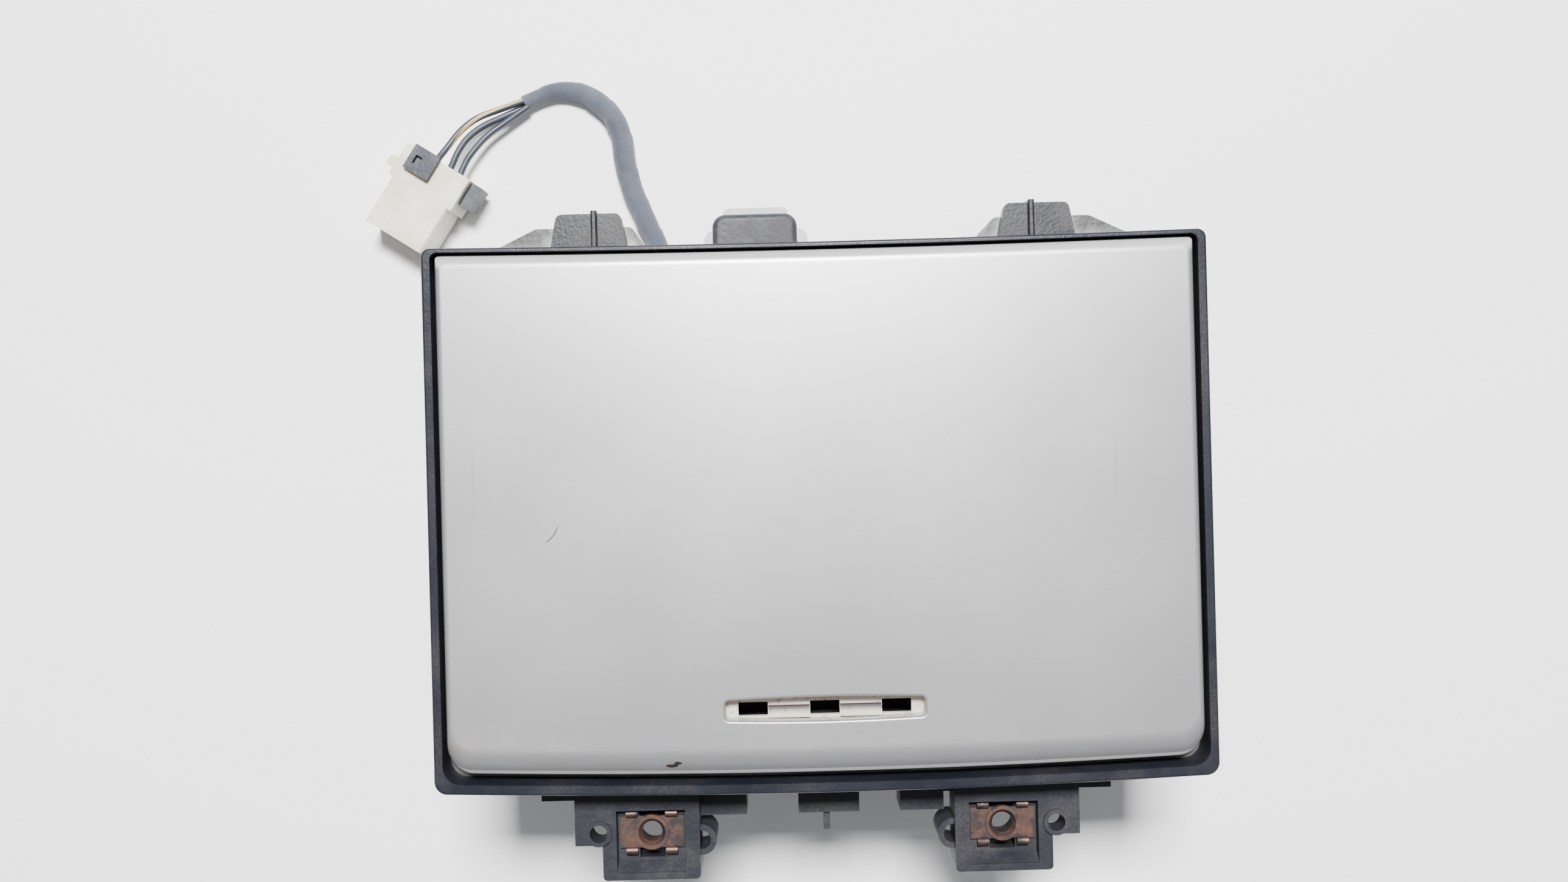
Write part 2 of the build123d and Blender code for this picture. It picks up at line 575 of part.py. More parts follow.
def lid_skin():
    skin = lid_solid(0) - lid_solid(SKIN)
    lip = bowed_plate(LID_HALF, LID_TOP, LID_BOTTOM, (LID_BACK_Z, LID_BACK_Z + LIP_H), 1.4, 6.5)
    lip = lip - bowed_plate(LID_HALF - SKIN, LID_TOP, LID_BOTTOM + LIP_OUT + SKIN,
                            (LID_BACK_Z - 1, LID_BACK_Z + LIP_H + 1), 0.8, 5.1)
    low_end = block((-LID_HALF, LID_HALF), (LID_BOTTOM - 5, LID_BOTTOM + 8),
                    (LID_BACK_Z - 1, FRONT_Z))
    skin = skin + (lip & low_end)
    hinge_cut = block((-LID_HALF - 1, LID_HALF + 1), (HINGE_Y + 0.5, LID_TOP + 5),
                      (LID_BACK_Z - 1, HINGE_Z))
    skin = skin - hinge_cut
    well = grip_outline(SKIN, (FRONT_Z - GRIP_DEPTH - SKIN, FRONT_Z - 0.3))
    skin = skin + well - grip_outline(0, (FRONT_Z - GRIP_DEPTH, FRONT_Z + 1))
    for x in (-WINDOW_PITCH / 2, WINDOW_PITCH / 2):
        skin = skin + trough(x)
    for x in (-WINDOW_PITCH, 0, WINDOW_PITCH):
        skin = skin - block((x - WINDOW_W / 2, x + WINDOW_W / 2),
                            (GRIP_Y + 0.5 - WINDOW_H / 2, GRIP_Y + 0.5 + WINDOW_H / 2),
                            (LID_BACK_Z - 1, FRONT_Z - 1))
    for x, y in LID_SCREWS:
        boss = rod_z(2.4, x, y, (PANEL_TOP_Z, FRONT_Z - SKIN + 0.2))
        skin = skin + boss - rod_z(0.9, x, y, (PANEL_TOP_Z - 1, PANEL_TOP_Z + 2.2))
    return skin


def trough(x):
    """A scooped rib between two windows, deepest under the hinge-side edge."""
    half = TROUGH_W / 2
    body = grip_outline(0.1, (FRONT_Z - GRIP_DEPTH - 0.1, FRONT_Z - 0.6))
    body = body & block((x - half, x + half), (GRIP_Y - 10, GRIP_Y + 10), (LID_BACK_Z, FRONT_Z))
    scoop = rod_x(TROUGH_R, (x - half - 1, x + half + 1), GRIP_Y + 1.3, FRONT_Z)
    return body - scoop


def lid_inner_panel():
    z = (LID_BACK_Z, PANEL_TOP_Z)
    panel = bowed_plate(LID_HALF - SKIN, HINGE_Y + 1.2, LID_BOTTOM + LIP_OUT + SKIN, z, 0.5, 5.1)
    panel = panel & block((-LID_HALF, LID_HALF), (LID_BOTTOM, HINGE_Y + 1.5), (z[0] - 1, z[1] + 1))
    panel = panel - grip_outline(SKIN, (z[0] - 1, z[1] + 1))
    left_notch = (-EAR_IN, -SPRING_BRACKET_X + SPRING_BRACKET_T / 2 + 0.6)
    right_notch = (BRACKET_X - BRACKET_T / 2 - 0.6, EAR_IN)
    for span in (left_notch, right_notch):
        panel = panel - block(span, (HINGE_Y - 5, HINGE_Y + 5), (z[0] - 1, z[1] + 1))
    for low, high in ((-EAR_OUT, -EAR_IN), (EAR_IN, EAR_OUT)):
        ear = rod_x(EAR_R, (low, high), HINGE_Y, HINGE_Z)
        web = block((low, high), (HINGE_Y - 6, HINGE_Y), (z[0], HINGE_Z + 0.5))
        panel = panel + ear + web
        panel = panel - rod_x(PIN_R + PIN_FIT, (low - 1, high + 1), HINGE_Y, HINGE_Z)
    for x, y in LID_SCREWS:
        panel = panel - rod_z(1.2, x, y, (z[0] - 1, z[1] + 1))
    return panel - rod_z(0.9, GEAR_X, HINGE_Y - 18.0, (z[0] - 1, z[1] + 1))


def lid_screws():
    screws = []
    for x, y in LID_SCREWS:
        head = rod_z(2.0, x, y, (LID_BACK_Z - 1.0, LID_BACK_Z))
        slot = block((x - 1.7, x + 1.7), (y - 0.3, y + 0.3), (LID_BACK_Z - 2, LID_BACK_Z - 0.6))
        shank = rod_z(0.9, x, y, (LID_BACK_Z, PANEL_TOP_Z + 2.0))
        screws.append(head - slot + shank)
    low = HINGE_Z - SECTOR_FOOT
    arm_head = rod_z(2.0, GEAR_X, HINGE_Y - 18.0, (low - 1.0, low))
    arm_shank = rod_z(0.9, GEAR_X, HINGE_Y - 18.0, (low, PANEL_TOP_Z))
    screws.append(arm_head + arm_shank)
    return group(screws)


def sector_gear():
    """The toothed arm on the lid that drives the damper's pinion."""
    x = (GEAR_X - GEAR_W / 2, GEAR_X + GEAR_W / 2)
    disc = rod_x(SECTOR_R - 0.8 * MODULE, x, 0, 0)
    reach = profile_x([
        (1.2, -2.0), (3.9, -4.7), (12, -4.95), (12, -12), (-12, -12), (-12, -4.2), (-8.0, -2.0),
    ], x)
    sector = disc & reach
    for step in range(-1, 7):
        angle = MESH_ANGLE + step * 360 / SECTOR_TEETH
        sector = sector + Pos(GEAR_X, 0, 0) * Rot(angle, 0, 0) * gear_tooth(SECTOR_TEETH, GEAR_W)
    foot = block((x[0] - 0.6, x[1]), (-22, -6.0), (-SECTOR_FOOT, -2.0))
    sector = sector + foot - rod_z(1.0, GEAR_X, -18.0, (-5, 0))
    return Pos(0, HINGE_Y, HINGE_Z) * sector


def damper_pinion():
    x = (GEAR_X - GEAR_W / 2 - 0.3, GEAR_X + GEAR_W / 2 + 0.3)
    pinion = rod_x(PINION_R - 0.85 * MODULE, x, 0, 0)
    for step in range(PINION_TEETH):
        angle = MESH_ANGLE + 180 + (step + 0.5) * 360 / PINION_TEETH
        tooth = gear_tooth(PINION_TEETH, GEAR_W + 0.6)
        pinion = pinion + Pos(GEAR_X, 0, 0) * Rot(angle, 0, 0) * tooth
    shaft = rod_x(SHAFT_R, (x[0], GEAR_X + 3.5 + 4.0), 0, 0)
    return Pos(0, PINION_Y, PINION_Z) * (pinion + shaft)


def damper_body():
    x = (GEAR_X + 3.5, GEAR_X + 3.5 + DAMPER_L)
    body = rod_x(DAMPER_R, x, PINION_Y, PINION_Z)
    body = fillet(body.edges().filter_by(GeomType.CIRCLE), 0.5)
    body = body - rod_x(SHAFT_R + PIN_FIT, (x[0] - 1, x[0] + 4.5), PINION_Y, PINION_Z)
    return body - rod_x(1.0, (x[1] - 3.5, x[1] + 1), PINION_Y, PINION_Z)


def damper_screw():
    x = GEAR_X + 3.5 + DAMPER_L
    head = rod_x(2.4, (x + 2.5, x + 4.0), PINION_Y, PINION_Z)
    return head + rod_x(1.0, (x - 3.0, x + 2.5), PINION_Y, PINION_Z)


def hinge_pins():
    left = rod_x(PIN_R, (-EAR_OUT, -SPRING_BRACKET_X + SPRING_BRACKET_T / 2), HINGE_Y, HINGE_Z)
    right = rod_x(PIN_R, (BRACKET_X - BRACKET_T / 2, EAR_OUT), HINGE_Y, HINGE_Z)
    return group([left, right])


def lid_spring():
    """The torsion spring on the left hinge pin: one leg under the lid, one on the fascia."""
    rest_leg_angle = 40.0
    turns = 6 + (180.0 - rest_leg_angle) / 360
    path = Helix(COIL_PITCH, COIL_PITCH * turns, COIL_R)
    start = Plane(origin=path @ 0, z_dir=path % 0)
    coil = sweep(start * Circle(COIL_WIRE_R), path=path, is_frenet=True)
    drop = HINGE_Z - FASCIA_TOP - COIL_R * math.cos(math.radians(rest_leg_angle)) - COIL_WIRE_R
    rest_leg = Plane(origin=path @ 0, z_dir=(path % 0) * -1)
    lid_leg = Plane(origin=path @ 1, z_dir=path % 1)
    leg_l = drop / math.sin(math.radians(rest_leg_angle))
    spring = coil + extrude(rest_leg * Circle(COIL_WIRE_R), leg_l)
    spring = spring + extrude(lid_leg * Circle(COIL_WIRE_R), 9.0)
    left = -BRACKET_X + BRACKET_T / 2 + 1.8
    return Pos(left, HINGE_Y, HINGE_Z) * Rot(0, 90, 0) * Rot(0, 0, rest_leg_angle) * spring


def striker():
    """The steel loop on the lid's inner panel that the catch spring holds."""
    top = LID_BACK_Z
    y = CATCH_Y
    foot = block((-9.0, 9.0), (y - 1.5, y + 5.0), (top - 1.0, top))
    blade = block((-5.0, 5.0), (y - 0.6, y + 0.6), (top - 7.0, top - 0.5))
    slot = block((-3.2, 3.2), (y - 2, y + 2), (top - 4.6, top - 2.2))
    return foot + blade - slot


def catch_spring():
    """A folded steel leaf on the fascia whose nose sits in the striker's slot."""
    y = CATCH_Y
    base = block((-2.8, 2.8), (y - 7.0, y - 1.6), (FASCIA_TOP, FASCIA_TOP + 0.6))
    stem = block((-2.8, 2.8), (y - 2.2, y - 1.6), (FASCIA_TOP, FASCIA_TOP + 6.6))
    nose = profile_x([
        (y - 2.2, FASCIA_TOP + 5.4), (y - 0.4, FASCIA_TOP + 6.0),
        (y - 2.2, FASCIA_TOP + 6.6),
    ], (-2.8, 2.8))
    return base + stem + nose


def lid_bumpers():
    stops = []
    y = LID_BOTTOM + 12.1
    for x in (-BUMPER_X, BUMPER_X):
        foot = rod_z(3.0, x, y, (FASCIA_TOP, LID_BACK_Z - 2.0))
        nib = rod_z(2.0, x, y, (LID_BACK_Z - 2.0, LID_BACK_Z))
        stops.append(foot + nib)
    return group(stops)


# ---- ash bin -----------------------------------------------------------------------------
def ash_bin():
    z = (BIN_BACK_Z, FASCIA_TOP)
    outer = fillet(block(BIN_X, BIN_Y, z).edges().filter_by(Axis.Z), 6.0)
    flange = block((BIN_X[0] - BIN_FLANGE, BIN_X[1] + BIN_FLANGE),
                   (BIN_Y[0] - BIN_FLANGE, BIN_Y[1] + BIN_FLANGE),
                   (FASCIA_TOP, FASCIA_TOP + BIN_FLANGE_T))
    flange = fillet(flange.edges().filter_by(Axis.Z), 8.0)
    inner = block((BIN_X[0] + BIN_WALL, BIN_X[1] - BIN_WALL),
                  (BIN_Y[0] + BIN_WALL, BIN_Y[1] - BIN_WALL),
                  (BIN_BACK_Z + BIN_WALL, FASCIA_TOP + 5))
    inner = fillet(inner.edges().filter_by(Axis.Z), 6.0 - BIN_WALL)
    pull = block((BIN_X[0] + 34, BIN_X[1] - 34), (BIN_Y[0] - 1.5, BIN_Y[0]),
                 (FASCIA_TOP + 1, FASCIA_TOP + 3.0))
    return outer + flange + pull - inner


def ash_liner():
    grow = BIN_WALL + LINER_T
    top = FASCIA_TOP + BIN_FLANGE_T - 0.5
    outer = block((BIN_X[0] + BIN_WALL, BIN_X[1] - BIN_WALL),
                  (BIN_Y[0] + BIN_WALL, BIN_Y[1] - BIN_WALL), (BIN_BACK_Z + BIN_WALL, top))
    outer = fillet(outer.edges().filter_by(Axis.Z), 6.0 - BIN_WALL)
    inner = block((BIN_X[0] + grow, BIN_X[1] - grow), (BIN_Y[0] + grow, BIN_Y[1] - grow),
                  (BIN_BACK_Z + grow, top + 1))
    inner = fillet(inner.edges().filter_by(Axis.Z), 6.0 - grow)
    return outer - inner


def snuffer_bar():
    """A bent steel strip across the liner for putting cigarettes out."""
    grow = BIN_WALL + LINER_T
    x = (BIN_X[0] + 36, BIN_X[0] + 52)
    top = FASCIA_TOP - 6
    bar = block(x, (BIN_Y[0] + grow, BIN_Y[1] - grow), (top - 1.0, top))
    for y, inward in ((BIN_Y[0] + grow, 1.0), (BIN_Y[1] - grow, -1.0)):
        ends = sorted((y, y + inward))
        bar = bar + block(x, tuple(ends), (top - 14, top))
    for step in range(4):
        y = BIN_Y[0] + 18 + step * 15
        bar = bar - block((x[0] + 3, x[1] - 3), (y - 3.5, y + 3.5), (top - 2, top + 1))
    return bar


# ---- lighter and socket -------------------------------------------------------------------
def socket_shell():
    z = (SOCKET_BACK_Z, FASCIA_TOP)
    shell = rod_z(SOCKET_R, SOCKET_X, SOCKET_Y, z)
    bore = rod_z(SOCKET_BORE / 2, SOCKET_X, SOCKET_Y, (z[0] + 1.2, z[1] + 1))
    return shell - bore - rod_z(4.0, SOCKET_X, SOCKET_Y, (z[0] - 1, z[0] + 2))


def socket_ring():
    z = (FASCIA_TOP, FASCIA_TOP + BIN_FLANGE_T)
    ring = rod_z(SOCKET_R + 2.6, SOCKET_X, SOCKET_Y, z)
    ring = chamfer(ring.faces().sort_by(Axis.Z)[-1].edges(), 0.6)
    return ring - rod_z(SOCKET_BORE / 2, SOCKET_X, SOCKET_Y, (z[0] - 1, z[1] + 1))


def socket_insulator():
    z = (SOCKET_BACK_Z - 2.0, SOCKET_BACK_Z + 4.0)
    disc = rod_z(8.0, SOCKET_X, SOCKET_Y, (z[0], SOCKET_BACK_Z))
    collar = rod_z(4.0, SOCKET_X, SOCKET_Y, (SOCKET_BACK_Z, z[1]))
    return disc + collar - rod_z(1.6, SOCKET_X, SOCKET_Y, (z[0] - 1, z[1] + 1))


def socket_contact():
    stud = rod_z(1.6, SOCKET_X, SOCKET_Y, (SOCKET_BACK_Z - 4.0, SOCKET_BACK_Z + 4.0))
    button = rod_z(3.2, SOCKET_X, SOCKET_Y, (SOCKET_BACK_Z + 4.0, SOCKET_BACK_Z + CONTACT_H))
    blade = block((SOCKET_X - 3.1, SOCKET_X + 3.1), (SOCKET_Y - 0.4, SOCKET_Y + 0.4),
                  (COVER_T + 0.5, SOCKET_BACK_Z - 4.0))
    return stud + button + blade


def socket_clamp():
    """The steel strap that grips the socket behind the fascia, with its earth tab."""
    z = (FASCIA_BACK_Z - 5.0, FASCIA_BACK_Z)
    strap = rod_z(SOCKET_R + 1.0, SOCKET_X, SOCKET_Y, z) - rod_z(SOCKET_R, SOCKET_X, SOCKET_Y, z)
    wing = block((SOCKET_X + SOCKET_R + 0.5, SOCKET_X + SOCKET_R + 7), (SOCKET_Y - 4, SOCKET_Y + 4),
                 (z[1] - 1.0, z[1]))
    return strap + wing


def lighter_knob():
    top = KNOB_TOP_Z
    knob = rod_z(KNOB_R, SOCKET_X, SOCKET_Y, (KNOB_BACK_Z + 0.4, top))
    knob = fillet(knob.faces().sort_by(Axis.Z)[-1].edges(), 1.2)
    dish = Pos(SOCKET_X, SOCKET_Y, top + 22.6) * Sphere(23.5)
    hub = rod_z(HUB_R, SOCKET_X, SOCKET_Y, (KNOB_BACK_Z - HUB_L, KNOB_BACK_Z + 0.5))
    return knob - dish + hub


def lighter_sleeve():
    """The steel cup that carries the element, closed where the hub meets it."""
    z = (ELEMENT_Z, KNOB_BACK_Z - HUB_L)
    sleeve = rod_z(SLEEVE_R, SOCKET_X, SOCKET_Y, z)
    return sleeve - rod_z(SLEEVE_R - 0.8, SOCKET_X, SOCKET_Y, (z[0] - 1, z[1] - 1))


def lighter_coil():
    """The heating element's flat spiral on its ceramic disc."""
    z = ELEMENT_Z
    cup = rod_z(SLEEVE_R - 0.8, SOCKET_X, SOCKET_Y, (z + 2.0, z + 6.0))
    for r in (1.4, 2.8, 4.2, 5.6):
        ring = rod_z(r + 0.4, SOCKET_X, SOCKET_Y, (z + 0.8, z + 2.3))
        cup = cup + (ring - rod_z(r - 0.4, SOCKET_X, SOCKET_Y, (z, z + 2.5)))
    return cup


def lighter_spring():
    """The return spring round the knob's hub, between the knob and its seat."""
    height = RETURN_PITCH * RETURN_TURNS
    path = Helix(RETURN_PITCH, height, RETURN_R)
    start = Plane(origin=path @ 0, z_dir=path % 0)
    coil = sweep(start * Circle(RETURN_WIRE_R), path=path, is_frenet=True)
    return Pos(SOCKET_X, SOCKET_Y, KNOB_BACK_Z - height) * coil


def lighter_seat():
    """The steel collar in the socket that the return spring stands on."""
    z = KNOB_BACK_Z - RETURN_PITCH * RETURN_TURNS - RETURN_WIRE_R
    seat = rod_z(SOCKET_BORE / 2, SOCKET_X, SOCKET_Y, (z - 1.0, z))
    return seat - rod_z(HUB_R + 0.4, SOCKET_X, SOCKET_Y, (z - 2, z + 1))


# ---- lamp ----------------------------------------------------------------------------------
def lamp_hood():
    x = (LAMP_X - HOOD_W / 2, LAMP_X + HOOD_W / 2)
    root = BEZEL_TOP + 0.1
    hood = block(x, (root, HOOD_TOP), (HOOD_BACK_Z, HOOD_FRONT_Z))
    hood = fillet(hood.edges().filter_by(Axis.Z).group_by(Axis.Y)[-1], 3.0)
    front = hood.faces().sort_by(Axis.Z)[-1].edges().filter_by(lambda e: e.center().Y > root + 1)
    hood = fillet(front, 1.5)
    return hood - block((x[0] + 1.5, x[1] - 1.5), (root - 1, HOOD_TOP - 1.5),
                        (HOOD_BACK_Z - 1, HOOD_FRONT_Z - 2))


def lamp_holder():
    x = (LAMP_X - HOLDER_W / 2, LAMP_X + HOLDER_W / 2)
    root = SHELL_TOP + TOP_SAG
    body = block(x, (root, HOLDER_TOP), (HOLDER_BACK_Z, HOOD_BACK_Z))
    body = fillet(body.edges().filter_by(Axis.Z).group_by(Axis.Y)[-1], 1.5)
    base = block((LAMP_X - HOLDER_BASE_W / 2, LAMP_X + HOLDER_BASE_W / 2),
                 (root, HOLDER_BASE_TOP), (HOLDER_BACK_Z, HOOD_BACK_Z))
    base = fillet(base.edges().filter_by(Axis.Z).group_by(Axis.Y)[-1], 2.5)
    holder = body + base
    return holder - rod_z(2.0, LAMP_X, LAMP_Y, (HOOD_BACK_Z - 6, HOOD_BACK_Z + 1))


def lamp_bulb():
    glass = rod_z(BULB_R, LAMP_X, LAMP_Y, (HOOD_BACK_Z, HOOD_BACK_Z + 9))
    glass = fillet(glass.faces().sort_by(Axis.Z)[-1].edges(), BULB_R - 0.05)
    return glass + rod_z(2.0, LAMP_X, LAMP_Y, (HOOD_BACK_Z - 6, HOOD_BACK_Z))


def lamp_lens():
    """The window that lets the lamp's light into the compartment."""
    return block((LAMP_X - 5, LAMP_X + 5), (CAVITY_TOP, BEZEL_TOP + 0.1), LENS_Z)


# ---- fixings and wiring ----------------------------------------------------------------------
def spring_nut():
    """A folded copper-plated clip nut with a thread plate and four rolled tabs."""
    z = LUG_FRONT_Z - POCKET_DEPTH
    plate = block((LUG_X - NUT_W / 2, LUG_X + NUT_W / 2),
                  (LUG_Y - NUT_H / 2, LUG_Y + NUT_H / 2), (z, z + NUT_T))
    nut = plate
    for side in (-1, 1):
        for end in (-1, 1):
            tab_x = LUG_X + side * (NUT_W / 2 - 1.5 - NUT_TAB_W / 2)
            tab = (tab_x - NUT_TAB_W / 2, tab_x + NUT_TAB_W / 2)
            roll_y = LUG_Y + end * (NUT_FULL_H / 2 - NUT_ROLL_R)
            span = sorted((LUG_Y + end * (NUT_H / 2 - 0.3), roll_y))
            nut = nut + block(tab, tuple(span), (z, z + NUT_T))
            nut = nut + rod_x(NUT_ROLL_R, tab, roll_y, z + NUT_ROLL_R)
    boss = rod_z(NUT_BOSS_R, LUG_X, LUG_Y, (z, z + NUT_T + 0.5))
    throat = rod_z(NUT_HOLE_R + 0.7, LUG_X, LUG_Y, (z - 2.2, z + 0.1))
    nut = nut + boss + throat
    dish = Pos(LUG_X, LUG_Y, z + NUT_T + 0.2) * Cone(NUT_HOLE_R, NUT_BOSS_R - 0.6, 1.4)
    return nut - dish - rod_z(NUT_HOLE_R, LUG_X, LUG_Y, (z - 3, z + 3))


def cable_grommet():
    y = REAR_TOP - WALL
    neck = Rot(90, 0, 0) * Cylinder(BUNDLE_D / 2 + 1.6, WALL)
    collar = Rot(90, 0, 0) * Cylinder(BUNDLE_D / 2 + 3.0, 1.4)
    boot = Rot(-90, 0, 0) * Cone(BUNDLE_D / 2 + 2.2, BUNDLE_D / 2 + 1.0, GROMMET_L - 1.4)
    flange = Rot(90, 0, 0) * Cylinder(BUNDLE_D / 2 + 3.0, 1.2)
    body = Pos(ENTRY_X, y + WALL / 2, ENTRY_Z) * neck
    body = body + Pos(ENTRY_X, REAR_TOP + 0.7, ENTRY_Z) * collar
    body = body + Pos(ENTRY_X, REAR_TOP + 1.4 + (GROMMET_L - 1.4) / 2, ENTRY_Z) * boot
    body = body + Pos(ENTRY_X, y - 0.6, ENTRY_Z) * flange
    return body - Pos(ENTRY_X, REAR_TOP, ENTRY_Z) * (Rot(90, 0, 0) * Cylinder(BUNDLE_D / 2, 30))


def socket_lead():
    """The feed from the cable entry to the socket's centre blade."""
    route = [
        (ENTRY_X, 46.0, ENTRY_Z), (-34.0, 37.0, 7.0), (-22.0, 24.0, 6.0), (-2.0, 12.0, 5.5),
        (20.0, 3.0, 5.5), (37.0, -3.5, 5.0), (SOCKET_X - 3.1, SOCKET_Y - 0.4, 4.4),
    ]
    return tube(route, LEAD_D, "socket_lead")


def lamp_lead():
    """The feed that comes out of the rear box and climbs to the lamp holder."""
    route = [
        (LAMP_LEAD_X, REAR_TOP - 6.0, LAMP_LEAD_Z), (LAMP_LEAD_X, REAR_TOP + 5.0, LAMP_LEAD_Z),
        (LAMP_LEAD_X + 3.6, REAR_TOP + 12.0, 18.0), (LAMP_X - 2.0, REAR_TOP + 15.4, 27.0),
        (LAMP_X, LAMP_Y, HOLDER_BACK_Z),
    ]
    return tube(route, LEAD_D, "lamp_lead")


# ---- plug on the free harness -------------------------------------------------------------------
def plug_place(shape):
    return Pos(PLUG_AT[0], PLUG_AT[1], 0) * Rot(0, 0, PLUG_TURN) * shape


def plug_housing():
    body = block((-PLUG_W / 2, PLUG_W / 2), (0, PLUG_L), (0.2, PLUG_H))
    body = fillet(body.edges().filter_by(Axis.Y), 0.8)
    collar = block((-PLUG_COLLAR_W / 2, PLUG_COLLAR_W / 2), (PLUG_L - 10, PLUG_L), (0.2, PLUG_H))
    lug_side = block((-PLUG_COLLAR_W / 2 - 2.2, -PLUG_COLLAR_W / 2 + 0.5),
                     (PLUG_L - 8, PLUG_L - 5), (5.0, PLUG_H))
    body = body + collar + lug_side
    for x in (-5.2, 0.0, 5.2):
        for z in (3.8, 10.0):
            cell = block((x - 1.9, x + 1.9), (-1, 9), (z - 1.9, z + 1.9))
            body = body - cell
    return plug_place(body)


def plug_retainers():
    upper = block((-7.0, 0.5), (PLUG_L - 6.5, PLUG_L + 0.8), (PLUG_H, PLUG_H + 1.8))
    upper = upper - block((-5.4, -3.4), (PLUG_L - 4.2, PLUG_L - 1.8), (PLUG_H + 0.6, PLUG_H + 3))
    side = block((PLUG_COLLAR_W / 2, PLUG_COLLAR_W / 2 + 3.4), (PLUG_L - 7.2, PLUG_L - 0.2), (3.5, 11.0))
    return group([plug_place(upper), plug_place(side)])


def plug_terminals():
    pins = []
    for x in (-5.2, 0.0, 5.2):
        for z in (3.8, 10.0):
            pins.append(plug_place(block((x - 1.1, x + 1.1), (3, 9), (z - 0.4, z + 0.4))))
    return group(pins)


# ---- build -------------------------------------------------------------------------------------
HOUSING_PIECES = {
    "bezel_frame": bezel_frame, "housing_shell": housing_shell, "fixing_lugs": fixing_lugs,
    "rear_case": rear_case, "rear_cover": rear_cover, "cover_screws": cover_screws,
    "inner_fascia": inner_fascia, "fascia_screws": fascia_screws,
    "lid_skin": lid_skin, "lid_inner_panel": lid_inner_panel, "lid_screws": lid_screws,
    "sector_gear": sector_gear, "damper_pinion": damper_pinion, "damper_body": damper_body,
    "damper_screw": damper_screw, "hinge_pins": hinge_pins, "lid_spring": lid_spring,
    "striker": striker, "catch_spring": catch_spring, "lid_bumpers": lid_bumpers,
    "ash_bin": ash_bin, "ash_liner": ash_liner, "snuffer_bar": snuffer_bar,
    "socket_shell": socket_shell, "socket_ring": socket_ring,
    "socket_insulator": socket_insulator, "socket_contact": socket_contact,
    "socket_clamp": socket_clamp, "lighter_knob": lighter_knob,
    "lighter_sleeve": lighter_sleeve, "lighter_coil": lighter_coil,
    "lighter_spring": lighter_spring, "lighter_seat": lighter_seat,
    "lamp_hood": lamp_hood, "lamp_holder": lamp_holder, "lamp_bulb": lamp_bulb,
    "lamp_lens": lamp_lens, "cable_grommet": cable_grommet,
    "socket_lead": socket_lead, "lamp_lead": lamp_lead,
}
for node, make in HOUSING_PIECES.items():
    save(node, make())
save("spring_nuts", group(both_sides(spring_nut())))

save_free("harness_bundle", tube(BUNDLE_ROUTE, BUNDLE_D, "harness_bundle"))
for node, route in WIRE_ROUTES.items():
    save_free(node, tube(route, WIRE_D, node))
save_free("plug_housing", plug_housing())
save_free("plug_retainers", plug_retainers())
save_free("plug_terminals", plug_terminals())
